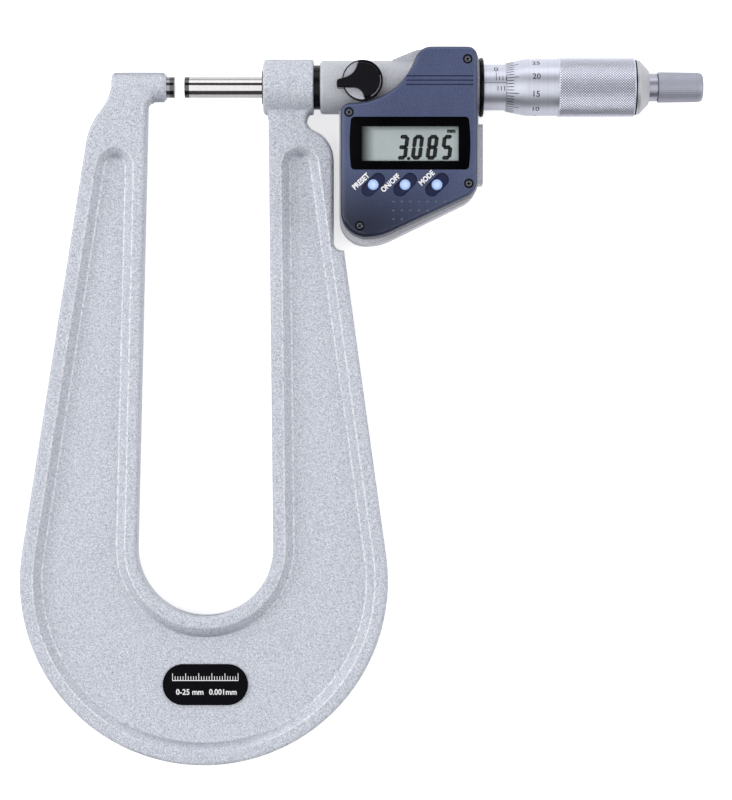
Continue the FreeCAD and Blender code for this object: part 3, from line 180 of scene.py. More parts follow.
# %% Grain and handling marks
grain, entry, leave = new_group(
    "fine grain",
    [("Size", "NodeSocketFloat", 0.3), ("Patch Size", "NodeSocketFloat", 20.0)],
    [("Grain", "NodeSocketFloat"), ("Patches", "NodeSocketFloat")],
)
place = put(grain, "ShaderNodeTexCoord").outputs["Object"]
small = put(
    grain, "ShaderNodeTexNoise",
    {"Vector": place, "Scale": maths(grain, "DIVIDE", 1000.0, entry.outputs["Size"]), "Detail": 2.0},
)
broad = put(
    grain, "ShaderNodeTexNoise",
    {"Vector": place, "Scale": maths(grain, "DIVIDE", 1000.0, entry.outputs["Patch Size"]), "Detail": 3.0},
)
grain.links.new(scaled(grain, small.outputs["Fac"], 0.25, 0.75, 0.0, 1.0), leave.inputs["Grain"])
grain.links.new(scaled(grain, broad.outputs["Fac"], 0.3, 0.7, 0.0, 1.0), leave.inputs["Patches"])
print("group made:", grain.name)

# %% [markdown]
# A turned or ground part keeps the tool's fine rings round its axis. All of this instrument's round
# parts share the X axis, so the rings are a noise that hardly changes round the axis. Stretching the
# coordinates is simpler than anisotropic shading.

# %% Turning marks
turning, entry, leave = new_group(
    "turning marks",
    [("Pitch", "NodeSocketFloat", 0.12)],
    [("Rings", "NodeSocketFloat")],
)
place, axes = object_place(turning)
squares = [maths(turning, "MULTIPLY", axes[name], axes[name]) for name in "YZ"]
across = maths(turning, "SQRT", maths(turning, "ADD", *squares))
along = put(turning, "ShaderNodeCombineXYZ", {"X": axes["X"], "Y": across, "Z": 0.0}).outputs[0]
rings = put(
    turning, "ShaderNodeTexNoise",
    {"Vector": along, "Scale": maths(turning, "DIVIDE", 1000.0, entry.outputs["Pitch"]), "Detail": 2.0},
)
turning.links.new(scaled(turning, rings.outputs["Fac"], 0.3, 0.7, 0.0, 1.0), leave.inputs["Rings"])
print("group made:", turning.name)

# %% [markdown]
# ## The finishes
#
# Each finish is one material with one Principled shader. Its steady values, such as Metallic and Coat
# Weight, stand on the shader. What changes over the surface comes from the groups.

# %% A new finish
def start_finish(name, **steady):
    """A material with its shader, and the steady values set on the shader's own sockets."""
    made = bpy.data.materials.new(name)
    made.use_nodes = True
    shader = made.node_tree.nodes["Principled BSDF"]
    for label, value in steady.items():
        shader.inputs[label.replace("_", " ")].default_value = value
    return made, made.node_tree, shader


def use_group(tree, group, **values):
    """Places a node group with its own values."""
    made = tree.nodes.new("ShaderNodeGroup")
    made.node_tree = group
    for label, value in values.items():
        made.inputs[label.replace("_", " ")].default_value = value
    return made


def raise_surface(tree, shader, height, distance, strength=1.0):
    """Bump, with the distance in millimetres."""
    sockets = {"Height": height, "Distance": distance * MM, "Strength": strength}
    tree.links.new(put(tree, "ShaderNodeBump", sockets).outputs[0], shader.inputs["Normal"])


def colour_from(tree, shader, amount, first, second):
    """Gives the shader a mix of two colours."""
    tree.links.new(blend_colours(tree, amount, first, second), shader.inputs["Base Color"])


finishes = {}


def open_again(name):
    """A finish's tree, its shader, the colour that it has so far, and the surface's place and axes."""
    tree = finishes[name].node_tree
    shader = tree.nodes["Principled BSDF"]
    return tree, shader, shader.inputs["Base Color"].links[0].from_socket, *object_place(tree)


# %% [markdown]
# ### Painted castings
#
# The U frame wears pale blue-grey hammered enamel. The head's casting is plainer: a silver enamel with
# a finer fleck.

# %% Enamel on the castings
def enamel(name, dark, light, size, relief, roughness):
    """Flecked enamel, glossier on its crests."""
    finishes[name], tree, shader = start_finish(name, Specular_IOR_Level=0.5)
    pattern = use_group(tree, hammered, Size=size)
    colour_from(tree, shader, pattern.outputs["Tone"], dark, light)
    gloss = scaled(tree, pattern.outputs["Tone"], 0.0, 1.0, roughness + 0.12, roughness - 0.08)
    tree.links.new(gloss, shader.inputs["Roughness"])
    raise_surface(tree, shader, pattern.outputs["Height"], relief)


enamel("hammertone_paint", (0.27, 0.295, 0.362), (0.83, 0.855, 0.93), 1.0, 0.08, 0.36)
enamel("silver_casting", (0.38, 0.39, 0.44), (0.66, 0.67, 0.73), 0.7, 0.04, 0.34)
print("enamels:", sorted(finishes))

# %% [markdown]
# The soft edges that stand along the frame's arms get painted highlights: pale lines, broken by a
# noise. An attribute on the mesh names those edges. The foot of a slope that lies across the arms gets
# painted shade, darker over the first millimetre and a half above the sunk web.

# %% Painted highlights and shade on the enamel
WEB_TOP, LIP_TOP = 2.0, 4.5

tree, shader, clean, place, axes = open_again("hammertone_paint")
edge = put(tree, "ShaderNodeAttribute", attribute_name="soft_edge").outputs["Fac"]
normal = put(tree, "ShaderNodeTexCoord").outputs["Normal"]
facing = put(tree, "ShaderNodeSeparateXYZ", {0: normal}).outputs
sideways = maths(tree, "ABSOLUTE", facing["X"])
broken = put(tree, "ShaderNodeTexNoise", {"Vector": place, "Scale": 900.0, "Detail": 3.0}).outputs["Fac"]
# Painted highlight: pale, broken lines on the soft edges that face sideways.
painted_highlight = maths(
    tree, "MULTIPLY",
    scaled(tree, sideways, 0.06, 0.3, 0.0, 1.0),
    scaled(tree, broken, 0.35, 0.6, 0.05, 0.75),
)
across = scaled(tree, sideways, 0.15, 0.48, 0.6, 0.0)
sloping = scaled(tree, facing["Z"], 0.93, 0.985, 1.0, 0.0)
low = scaled(tree, axes["Z"], (WEB_TOP + 0.1) * MM, (WEB_TOP + 1.6) * MM, 1.0, 0.0)
# Painted shade: darker at the foot of slopes that lie across the arms.
painted_shade_mask = maths(tree, "MULTIPLY", maths(tree, "MULTIPLY", across, sloping), low)
with_painted_shade = blend_colours(tree, painted_shade_mask, clean, (0.17, 0.19, 0.26))
colour_from(tree, shader, maths(tree, "MULTIPLY", edge, painted_highlight), with_painted_shade, (0.97, 0.98, 1.0))
print("enamel thins over edges and pools above a height of", WEB_TOP, "mm")

# %% [markdown]
# ### Plastics and rubber
#
# The cover is a slate blue moulding with a fine spark-eroded texture. The small black parts are
# smooth. A grain that is too faint to see as bumps still breaks up the gloss, and that is what makes
# them look moulded.

# %% Mouldings
def moulding(name, dark, light, size, relief, roughness, **steady):
    """Grained plastic or rubber with faint handling marks."""
    finishes[name], tree, shader = start_finish(name, **steady)
    pattern = use_group(tree, grain, Size=size, Patch_Size=18.0)
    worn = weighed(tree, pattern.outputs["Grain"], pattern.outputs["Patches"], 0.7)
    colour_from(tree, shader, worn, dark, light)
    gloss = scaled(tree, pattern.outputs["Patches"], 0.0, 1.0, roughness - 0.05, roughness + 0.07)
    tree.links.new(gloss, shader.inputs["Roughness"])
    raise_surface(tree, shader, pattern.outputs["Grain"], relief)


moulding(
    "slate_plastic", (0.032, 0.045, 0.104), (0.090, 0.110, 0.208), 0.32, 0.020, 0.42,
    Specular_IOR_Level=0.16, Coat_Weight=0.35, Coat_Roughness=0.12
)
moulding(
    "dot_plastic", (0.016, 0.024, 0.060), (0.040, 0.055, 0.110), 0.4, 0.001, 0.14, Specular_IOR_Level=1.0
)
moulding(
    "black_plastic", (0.002, 0.002, 0.004), (0.005, 0.005, 0.008), 0.5, 0.001, 0.14, Specular_IOR_Level=0.1
)
moulding(
    "black_steel", (0.004, 0.004, 0.006), (0.010, 0.010, 0.013), 0.25, 0.002, 0.20, Specular_IOR_Level=0.15
)
moulding("screw_steel", (0.10, 0.105, 0.13), (0.17, 0.175, 0.20), 0.25, 0.004, 0.32, Metallic=0.6)
moulding(
    "black_rubber", (0.004, 0.004, 0.005), (0.009, 0.009, 0.010), 0.3, 0.01, 0.62, Specular_IOR_Level=0.15
)
moulding(
    "navy_plastic", (0.002, 0.005, 0.036), (0.005, 0.010, 0.062), 0.4, 0.002, 0.22, Specular_IOR_Level=0.3
)
moulding("button_blue", (0.17, 0.34, 0.74), (0.26, 0.43, 0.82), 0.5, 0.002, 0.28, Coat_Weight=0.4)
moulding("board_green", (0.010, 0.07, 0.03), (0.02, 0.13, 0.05), 1.5, 0.01, 0.4)
moulding(
    "plate_black", (0.001, 0.001, 0.002), (0.004, 0.004, 0.006), 0.6, 0.002, 0.30, Specular_IOR_Level=0.03
)
print("mouldings made, finishes so far:", len(finishes))

# %% [markdown]
# The cover gets painted shade: it is darker towards its lower left end and down its walls. The
# buttons get a painted highlight: they are paler in the middle. They stand at an even pitch, so the
# remainder of a division by it gives each one its own middle.

# %% Painted shade on the cover and painted highlights on the buttons
tree, shader, clean, place, axes = open_again("slate_plastic")
# Painted shade: darker towards the lower left end and down the walls.
down = scaled(tree, axes["Y"], -24.0 * MM, -42.0 * MM, 0.0, 0.9)
left = scaled(tree, axes["X"], 88.0 * MM, 58.0 * MM, 0.3, 1.0)
walls = scaled(tree, axes["Z"], 12.2 * MM, 13.2 * MM, 0.95, 0.0)
shaded = maths(tree, "MAXIMUM", maths(tree, "MULTIPLY", down, left), walls)
colour_from(tree, shader, shaded, clean, (0.003, 0.005, 0.018))

BUTTON_FIRST, BUTTON_PITCH, BUTTON_Y = 60.11, 9.5, -30.56
# Painted highlight: each button is paler round its middle.
tree, shader, clean, place, axes = open_again("button_blue")
along = maths(tree, "SUBTRACT", axes["X"], (BUTTON_FIRST - BUTTON_PITCH / 2) * MM)
along = maths(tree, "MODULO", along, BUTTON_PITCH * MM)
offset = put(tree, "ShaderNodeCombineXYZ", {
    "X": maths(tree, "SUBTRACT", along, BUTTON_PITCH / 2 * MM),
    "Y": maths(tree, "SUBTRACT", axes["Y"], BUTTON_Y * MM),
}).outputs[0]
reach = put(tree, "ShaderNodeVectorMath", {0: offset}, operation="LENGTH").outputs["Value"]
colour_from(tree, shader, scaled(tree, reach, 0.5 * MM, 1.7 * MM, 0.75, 0.0), clean, (0.66, 0.76, 0.92))
print("button middles every", BUTTON_PITCH, "mm")

# %% [markdown]
# ### Metals
#
# The ground spindle is close to a mirror, so it shows the studio. The thimble and sleeve are satin
# chrome, and the ratchet's knob and the caps are duller. All have Metallic at 1 and differ in colour,
# roughness and turning marks.

# %% Turned metals
def turned_metal(name, dark, light, pitch, relief, roughness, spread):
    """Metal with turning marks round the X axis."""
    finishes[name], tree, shader = start_finish(name, Metallic=1.0)
    marks = use_group(tree, turning, Pitch=pitch)
    patches = use_group(tree, grain, Size=0.5, Patch_Size=9.0)
    colour_from(tree, shader, marks.outputs["Rings"], dark, light)
    worn = weighed(tree, marks.outputs["Rings"], patches.outputs["Patches"], 0.5)
    gloss = scaled(tree, worn, 0.0, 1.0, roughness - spread, roughness + spread)
    tree.links.new(gloss, shader.inputs["Roughness"])
    raise_surface(tree, shader, marks.outputs["Rings"], relief)


turned_metal("ground_steel", (0.44, 0.425, 0.43), (0.54, 0.52, 0.525), 0.05, 0.0002, 0.11, 0.03)
turned_metal("carbide", (0.07, 0.068, 0.07), (0.11, 0.107, 0.11), 0.05, 0.0002, 0.16, 0.03)
turned_metal("anvil_steel", (0.20, 0.195, 0.205), (0.28, 0.272, 0.285), 0.05, 0.0003, 0.16, 0.03)
turned_metal("satin_chrome", (0.52, 0.535, 0.62), (0.64, 0.655, 0.74), 0.12, 0.0006, 0.44, 0.05)
# The knurl's chrome is paler than the barrel's satin chrome, a painted highlight for its bright crests.
turned_metal("knurled_chrome", (0.76, 0.775, 0.87), (0.88, 0.895, 0.98), 0.12, 0.0006, 0.44, 0.05)
turned_metal("cap_metal", (0.345, 0.355, 0.42), (0.435, 0.445, 0.51), 0.15, 0.0008, 0.58, 0.05)
turned_metal("pale_cap_metal", (0.50, 0.505, 0.53), (0.60, 0.605, 0.63), 0.15, 0.0008, 0.60, 0.05)
turned_metal("neck_metal", (0.33, 0.34, 0.41), (0.47, 0.48, 0.56), 0.12, 0.0006, 0.40, 0.05)
turned_metal("brass", (0.62, 0.44, 0.16), (0.76, 0.57, 0.25), 0.2, 0.001, 0.32, 0.05)
turned_metal("battery_steel", (0.66, 0.66, 0.65), (0.76, 0.76, 0.75), 0.2, 0.001, 0.26, 0.04)
print("metals made, finishes so far:", len(finishes))

# %% [markdown]
# The knurl gets painted shade down in its grooves. They lie nearer to the axis than the crests do, so
# the distance from the axis gives the mask.

# %% Painted shade in the knurl's grooves
GROOVE_REACH, CREST_REACH = 8.80, 8.87
tree, shader, clean, place, axes = open_again("knurled_chrome")
across = put(tree, "ShaderNodeCombineXYZ", {"Y": axes["Y"], "Z": axes["Z"]}).outputs[0]
reach = put(tree, "ShaderNodeVectorMath", {0: across}, operation="LENGTH").outputs["Value"]
crest = scaled(tree, reach, GROOVE_REACH * MM, CREST_REACH * MM, 0.0, 1.0)
# Painted shade: the grooves are darkened, and the crests keep the chrome's colour.
colour_from(tree, shader, crest, (0.10, 0.10, 0.16), clean)
print("grooves are dark within", GROOVE_REACH, "mm of the axis")

# %% [markdown]
# ### The display window
#
# The window is one clear plate, printed black on its back except for the middle. Two plates could
# show that, but one material that is clear only in the middle keeps the part whole. Its edge is a
# mask made from the part's own coordinates.

# %% Printed window
CLEAR_LEFT, CLEAR_RIGHT, CLEAR_LOW, CLEAR_HIGH = 56.6, 85.55, -23.43, -13.05


def inside(tree, value, low, high, soft=0.05):
    """1 between two limits in millimetres, 0 outside them."""
    rise = scaled(tree, value, (low - soft) * MM, (low + soft) * MM, 0.0, 1.0)
    fall = scaled(tree, value, (high - soft) * MM, (high + soft) * MM, 1.0, 0.0)
    return maths(tree, "MULTIPLY", rise, fall)


window, tree, shader = start_finish("window_plastic", Roughness=0.06, Specular_IOR_Level=0.1)
place, axes = object_place(tree)
clear = maths(
    tree, "MULTIPLY",
    inside(tree, axes["X"], CLEAR_LEFT, CLEAR_RIGHT),
    inside(tree, axes["Y"], CLEAR_LOW, CLEAR_HIGH),
)
smudge = use_group(tree, grain, Size=0.8, Patch_Size=12.0)
colour_from(tree, shader, smudge.outputs["Patches"], (0.0006, 0.0007, 0.001), (0.002, 0.002, 0.003))
tree.links.new(scaled(tree, clear, 0.0, 1.0, 1.0, 0.04), shader.inputs["Alpha"])
finishes["window_plastic"] = window
print("window is clear from", CLEAR_LEFT, "to", CLEAR_RIGHT, "mm")

# %% [markdown]
# The liquid crystal panel behind the window is a grey-green glass. It is darker near the window's left
# and upper edges, which shade it.

# %% Liquid crystal panel
panel, tree, shader = start_finish("lcd_glass", Specular_IOR_Level=0.2)
place, axes = object_place(tree)
speckle = use_group(tree, grain, Size=0.25, Patch_Size=14.0)
worn = weighed(tree, speckle.outputs["Grain"], speckle.outputs["Patches"], 0.6)
glass = blend_colours(tree, worn, (0.335, 0.385, 0.39), (0.50, 0.555, 0.56))
from_left = scaled(tree, axes["X"], CLEAR_LEFT * MM, (CLEAR_LEFT + 4.0) * MM, 1.0, 0.0)
from_top = scaled(tree, axes["Y"], CLEAR_HIGH * MM, (CLEAR_HIGH - 1.4) * MM, 0.55, 0.0)
shade = maths(tree, "MAXIMUM", from_left, from_top)
colour_from(tree, shader, shade, glass, (0.02, 0.026, 0.024))
tree.links.new(scaled(tree, speckle.outputs["Patches"], 0.0, 1.0, 0.45, 0.6), shader.inputs["Roughness"])
finishes["lcd_glass"] = panel
print("panel glass made, finishes so far:", len(finishes))

# %% [markdown]
# ### Inks
#
# Print and engraved lines are thin films, a few hundredths of a millimetre proud. Real ink is never
# quite even, so each ink has a trace of mottling.

# %% Inks
def ink(name, dark, light, roughness):
    """Slightly uneven ink."""
    finishes[name], tree, shader = start_finish(name, Roughness=roughness, Specular_IOR_Level=0.3)
    pattern = use_group(tree, grain, Size=0.25, Patch_Size=3.0)
    worn = weighed(tree, pattern.outputs["Grain"], pattern.outputs["Patches"], 0.5)
    colour_from(tree, shader, worn, dark, light)


ink("white_ink", (0.78, 0.79, 0.80), (0.90, 0.90, 0.91), 0.5)
ink("scale_ink", (0.016, 0.017, 0.030), (0.05, 0.052, 0.075), 0.5)
ink("digit_ink", (0.002, 0.003, 0.005), (0.006, 0.007, 0.010), 0.45)
print("inks made, finishes:", len(finishes))

# %% [markdown]
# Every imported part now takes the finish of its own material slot. The anvil is darker than the
# spindle, the thimble's cap is paler than the ratchet's knob, and the neck between them is shinier
# than both, so each of the three gets its own finish.

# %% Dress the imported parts
for entry in frame["record"]["subparts"]:
    part = frame["nodes"][entry["node"]]
    for material_slot in part.material_slots:
        material_slot.material = finishes[entry["material_slot"]]
frame["nodes"]["anvil"].material_slots[0].material = finishes["anvil_steel"]
frame["nodes"]["thimble_cap"].material_slots[0].material = finishes["pale_cap_metal"]
frame["nodes"]["ratchet_neck"].material_slots[0].material = finishes["neck_metal"]

# %% [markdown]
# ## How the added pieces are made
#
# Pieces are modelled in millimetres with bmesh operators and scaled to metres at the end. Normals are
# recalculated once the doubles are merged, and edges sharper than an angle stay crisp. Many pieces are
# rings of points, one after another, whose gaps are closed by bridging.

# %% Finish a piece
def finish_piece(name, bm, body, material, angle=35, flip_check=True):
    """Makes an object from a bmesh in millimetres, and lets it ride on a body."""
    bmesh.ops.remove_doubles(bm, verts=bm.verts, dist=0.0005)
    if flip_check:
        bmesh.ops.recalc_face_normals(bm, faces=bm.faces)
    bmesh.ops.scale(bm, vec=(MM, MM, MM), verts=bm.verts)
    mesh = bpy.data.meshes.new(name)
    bm.to_mesh(mesh)
    bm.free()
    mesh.shade_smooth()
    mesh.set_sharp_from_angle(angle=math.radians(angle))
    mesh.materials.append(finishes[material])
    piece = bpy.data.objects.new(name, mesh)
    bpy.context.scene.collection.objects.link(piece)
    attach(piece, body)
    print(name, "rides on", body, "with", len(mesh.polygons), "faces")
    return piece


def edges_of(ring):
    """The edges between a ring's points."""
    return {edge for vert in ring for edge in vert.link_edges}


def bridge_rings(bm, rings):
    """Closes the gap between each ring of edges and the next one."""
    for first, second in zip(rings, rings[1:]):
        bmesh.ops.bridge_loops(bm, edges=list(first | second))


def turn_upright(bm, verts, degrees, centre=(0, 0, 0)):
    """Turns points about an upright axis."""
    bmesh.ops.rotate(bm, cent=centre, matrix=Matrix.Rotation(math.radians(degrees), 3, "Z"), verts=verts)


# %% [markdown]
# A turned part starts as its half profile, a row of points at their distance from the axis, which is
# spun round the X axis. The full turn is closed by use_merge.

# %% Turned pieces
def spun(bm, points, steps=96):
    """Spins a closed profile of (x, radius) points round the X axis."""
    ring = [bm.verts.new((x, radius, 0)) for x, radius in points]
    edges = [bm.edges.new((ring[i], ring[(i + 1) % len(ring)])) for i in range(len(ring))]
    bmesh.ops.spin(
        bm, geom=ring + edges, cent=(0, 0, 0), axis=(1, 0, 0), angle=math.tau, steps=steps, use_merge=True
    )
    bmesh.ops.remove_doubles(bm, verts=bm.verts, dist=0.0005)


# %% [markdown]
# ## The casting's soft edges
#
# Sand casting and thick enamel leave no sharp edge on the frame, and each soft edge catches a line of
# light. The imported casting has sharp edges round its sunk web. A copy of its mesh is joined up, the
# triangles of its flat faces are dissolved, edges too short for a bevel are merged, and the sharp
# edges at the web's and the lip's height get a small bevel. A bevel modifier would do the same, but
# the operator shows which edges it takes. The bevel gives its faces a number of their own, which
# becomes the attribute that the enamel reads. Normals are weighted by the faces' areas afterwards, so
# that the flat faces stay flat to the eye.

# %% Bevelled casting
def on_level(vert):
    """True for a point at the height of the web or of the lip, on either side."""
    return min(abs(abs(vert.co.z) - WEB_TOP), abs(abs(vert.co.z) - LIP_TOP)) < 0.01


bm = bmesh.new()
bm.from_mesh(frame["nodes"]["frame"].data)
bmesh.ops.scale(bm, vec=(1 / MM, 1 / MM, 1 / MM), verts=bm.verts)
bmesh.ops.remove_doubles(bm, verts=bm.verts, dist=0.002)
level = [vert for vert in bm.verts if on_level(vert)]
edges = [edge for edge in bm.edges if all(on_level(vert) for vert in edge.verts)]
bmesh.ops.dissolve_limit(bm, angle_limit=math.radians(0.5), verts=level, edges=edges)


def sharp_edges(bm):
    """The sharp edges that run at the height of the web or of the lip."""
    steep = math.radians(38)
    return [
        edge for edge in bm.edges
        if edge.is_manifold and edge.calc_face_angle(0) > steep and all(map(on_level, edge.verts))
    ]


SHORTEST = 0.25
short = [edge for edge in sharp_edges(bm) if edge.calc_length() < SHORTEST]
bmesh.ops.dissolve_degenerate(bm, dist=SHORTEST, edges=short)
bmesh.ops.bevel(
    bm, geom=sharp_edges(bm), offset=0.34, offset_type="OFFSET", affect="EDGES", segments=3, profile=0.5,
    material=1, clamp_overlap=False,
)
soft_edge = bm.faces.layers.float.new("soft_edge")
for face in bm.faces:
    face[soft_edge] = face.material_index
    face.material_index = 0
casting = finish_piece("casting", bm, "frame", "hammertone_paint", angle=32)
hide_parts("frame")
weighted = casting.modifiers.new("weighted normals", "WEIGHTED_NORMAL")
weighted.keep_sharp = True
weighted.weight = 90

# %% [markdown]
# ## The thimble
#
# The thimble's grip is diamond-knurled: two sets of helical grooves cross and leave small pyramids.
# A bump map looks flat at the outline, so the pyramids are real. On a grid whose cells are half a
# pyramid wide, corners lie by turns on a crest and in a groove, as on a chessboard, and each cell is
# split along its groove.

# %% Knurled grip
GRIP_LEFT, GRIP_RIGHT, GRIP_RADIUS, GRIP_DEPTH = 116.05, 139.0, 9.0, 0.22
AROUND, ALONG = 136, 54

bm = bmesh.new()
bmesh.ops.create_grid(bm, x_segments=ALONG, y_segments=AROUND, size=0.5)
bm.verts.ensure_lookup_table()
for vert in bm.verts:
    column = round((vert.co.x + 0.5) * ALONG)
    row = round((vert.co.y + 0.5) * AROUND)
    rim = column in (0, ALONG)
    crest = (column + row) % 2 == 1
    radius = GRIP_RADIUS - (GRIP_DEPTH * 0.5 if rim else (0 if crest else GRIP_DEPTH))
    turn = math.tau * row / AROUND
    x = GRIP_LEFT + (GRIP_RIGHT - GRIP_LEFT) * column / ALONG
    vert.co = (x, radius * math.sin(turn), radius * math.cos(turn))
bmesh.ops.remove_doubles(bm, verts=bm.verts, dist=0.0005)
bmesh.ops.triangulate(bm, faces=bm.faces, quad_method="SHORT_EDGE")
finish_piece("knurled_grip", bm, "spindle", "knurled_chrome", angle=8)

# %% [markdown]
# Under the grip the thimble is a plain turned shell: a thin edge, a cone that carries the divisions,
# a smooth barrel, and a band behind the grip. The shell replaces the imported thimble, because the
# grooves of the grip cut below that part's skin.

# %% Thimble shell
CONE_LEFT, CONE_RIGHT, CONE_SMALL, CONE_LARGE = 100.28, 106.0, 7.3, 8.55

bm = bmesh.new()
spun(bm, [
    (100.2, 6.98),
    (100.2, 7.22),
    (CONE_LEFT, CONE_SMALL),
    (CONE_RIGHT, 8.53),
    (106.35, CONE_LARGE),
    (115.97, CONE_LARGE),
    (116.0, 8.78),
    (116.05, 8.85),
    (116.2, 8.65),
    (138.85, 8.65),
    (139.0, 8.85),
    (139.05, 8.78),
    (139.1, 8.25),
    (139.72, 8.25),
    (139.8, 8.15),
    (139.8, 3.5),
    (136.0, 3.5),
    (136.0, 6.98),
])
thimble_shell = finish_piece("thimble_shell", bm, "spindle", "satin_chrome", angle=22)
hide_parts("thimble")

# %% [markdown]
# A narrow black seal fills the gap between the thimble's grip and its cap.

# %% Seal behind the grip
bm = bmesh.new()
spun(bm, [(139.12, 8.1), (139.12, 8.42), (139.55, 8.42), (139.55, 8.1)])
finish_piece("grip_seal", bm, "spindle", "black_rubber", angle=30)

# %% [markdown]
# ## Scales
#
# Lines and figures are laid out flat and then wrapped round the axis: their height becomes an angle,
# and their distance from the axis follows the part's skin. A line is a narrow strip. A figure is a
# text object turned into a mesh, and cut into rows so that it can bend.

# %% Flat lettering
def flat_words(words, tall, weight=0.0):
    """Lettering as a flat bmesh, centred, as tall as given, with a weight that thickens its strokes."""
    curve = bpy.data.curves.new("words", "FONT")
    curve.body = words
    curve.size = 10.0
    curve.offset = weight
    curve.resolution_u = 3
    holder = bpy.data.objects.new("words", curve)
    bpy.context.scene.collection.objects.link(holder)
    bpy.context.view_layer.update()
    mesh = bpy.data.meshes.new_from_object(holder.evaluated_get(bpy.context.evaluated_depsgraph_get()))
    bm = bmesh.new()
    bm.from_mesh(mesh)
    bpy.data.objects.remove(holder)
    bpy.data.curves.remove(curve)
    bpy.data.meshes.remove(mesh)
    low = Vector((min(v.co.x for v in bm.verts), min(v.co.y for v in bm.verts), 0))
    high = Vector((max(v.co.x for v in bm.verts), max(v.co.y for v in bm.verts), 0))
    bmesh.ops.translate(bm, vec=-(low + high) / 2, verts=bm.verts)
    size = tall / (high.y - low.y)
    bmesh.ops.scale(bm, vec=(size, size, size), verts=bm.verts)
    bmesh.ops.remove_doubles(bm, verts=bm.verts, dist=0.0005)
    return bm


def cut_rows(bm, tall, step=0.2):
    """Cuts lettering into rows, so that it can bend round a part."""
    for row in range(int(tall / step) + 1):
        bmesh.ops.bisect_plane(
            bm, geom=bm.verts[:] + bm.edges[:] + bm.faces[:], plane_co=(0, row * step - tall / 2, 0),
            plane_no=(0, 1, 0),
        )


def add_mesh(bm, part):
    """Moves one bmesh's shape into another."""
    mesh = bpy.data.meshes.new("part")
    part.to_mesh(mesh)
    part.free()
    bm.from_mesh(mesh)
    bpy.data.meshes.remove(mesh)


def strip(bm, left, right, low, high, rows=1):
    """A flat strip on the XY plane."""
    made = bmesh.ops.create_grid(bm, x_segments=1, y_segments=rows, size=0.5)["verts"]
    bmesh.ops.scale(bm, vec=(right - left, high - low, 1), verts=made)
    bmesh.ops.translate(bm, vec=((left + right) / 2, (low + high) / 2, 0), verts=made)
    return made


def wrap(verts, radius, angle):
    """Bends flat shapes round the X axis, at an angle in degrees from straight up towards +Y."""
    for vert in verts:
        reach = radius(vert.co.x)
        turn = math.radians(angle) + vert.co.y / reach
        vert.co = (vert.co.x, reach * math.sin(turn), reach * math.cos(turn))


# %% [markdown]
# Fifty divisions go once round the thimble's cone, with a figure at every fifth. The sleeve's reading
# line lies a few degrees from straight up, and division 18.43 stands at it, as in the photo.

# %% Thimble divisions and figures
READING_ANGLE = 5.2
DIVISION_ANGLE = 7.2
READING = 18.43
PROUD = 0.015
THIMBLE_FIGURE, SLEEVE_FIGURE = 1.85, 1.9


def cone_radius(x):
    """Skin of the thimble at x, with the ink on it."""
    share = min(max((x - CONE_LEFT) / (CONE_RIGHT - CONE_LEFT), 0), 1)
    return CONE_SMALL + share * (CONE_LARGE - CONE_SMALL) + PROUD


bm = bmesh.new()
for division in range(50):
    long_line = division % 5 == 0
    line = strip(bm, 100.33, 103.9 if long_line else 102.4, -0.12, 0.12)
    wrap(line, cone_radius, READING_ANGLE + (division - READING) * DIVISION_ANGLE)
finish_piece("thimble_divisions", bm, "spindle", "scale_ink", flip_check=False)

bm = bmesh.new()
for figure in range(0, 50, 5):
    words = flat_words(str(figure), THIMBLE_FIGURE, 0.12)
    cut_rows(words, THIMBLE_FIGURE)
    bmesh.ops.translate(words, vec=(109.15, 0, 0), verts=words.verts)
    wrap(words.verts, cone_radius, READING_ANGLE + (figure - READING) * DIVISION_ANGLE)
    add_mesh(bm, words)
finish_piece("thimble_figures", bm, "spindle", "scale_ink", flip_check=False)

# %% [markdown]
# The sleeve carries the millimetre scale. Most of it is under the thimble now, and comes out as the
# spindle opens, so the whole scale is drawn. Whole millimetres stand above the reading line and the
# halves below it, with a small gap.

# %% Sleeve scale
ZERO_X = 97.1


def sleeve_radius(x):
    """Skin of the sleeve, with the ink on it."""
    return 6.9 + PROUD


bm = bmesh.new()
wrap(strip(bm, 93.5, 123.2, -0.07, 0.07), sleeve_radius, READING_ANGLE)
for millimetre in range(26):
    high = 3.4 if millimetre % 5 == 0 else 2.1
    line = strip(bm, ZERO_X + millimetre - 0.1, ZERO_X + millimetre + 0.1, 0.8, high, 4)
    wrap(line, sleeve_radius, READING_ANGLE)
for millimetre in range(25):
    half = ZERO_X + millimetre + 0.5
    wrap(strip(bm, half - 0.12, half + 0.12, -2.4, -1.0, 3), sleeve_radius, READING_ANGLE)
for figure in range(0, 26, 5):
    words = flat_words(str(figure), SLEEVE_FIGURE, 0.08)
    cut_rows(words, SLEEVE_FIGURE)
    bmesh.ops.translate(words, vec=(ZERO_X + figure, 4.9, 0), verts=words.verts)
    wrap(words.verts, sleeve_radius, READING_ANGLE)
    add_mesh(bm, words)
finish_piece("sleeve_scale", bm, "frame", "scale_ink", flip_check=False)

# %% [markdown]
# ## The ratchet's knob
#
# Straight ribs give the fingers a hold. They are a ring of points whose distance from the axis goes
# up and down, drawn out along X and drawn in a little at the rounded end.

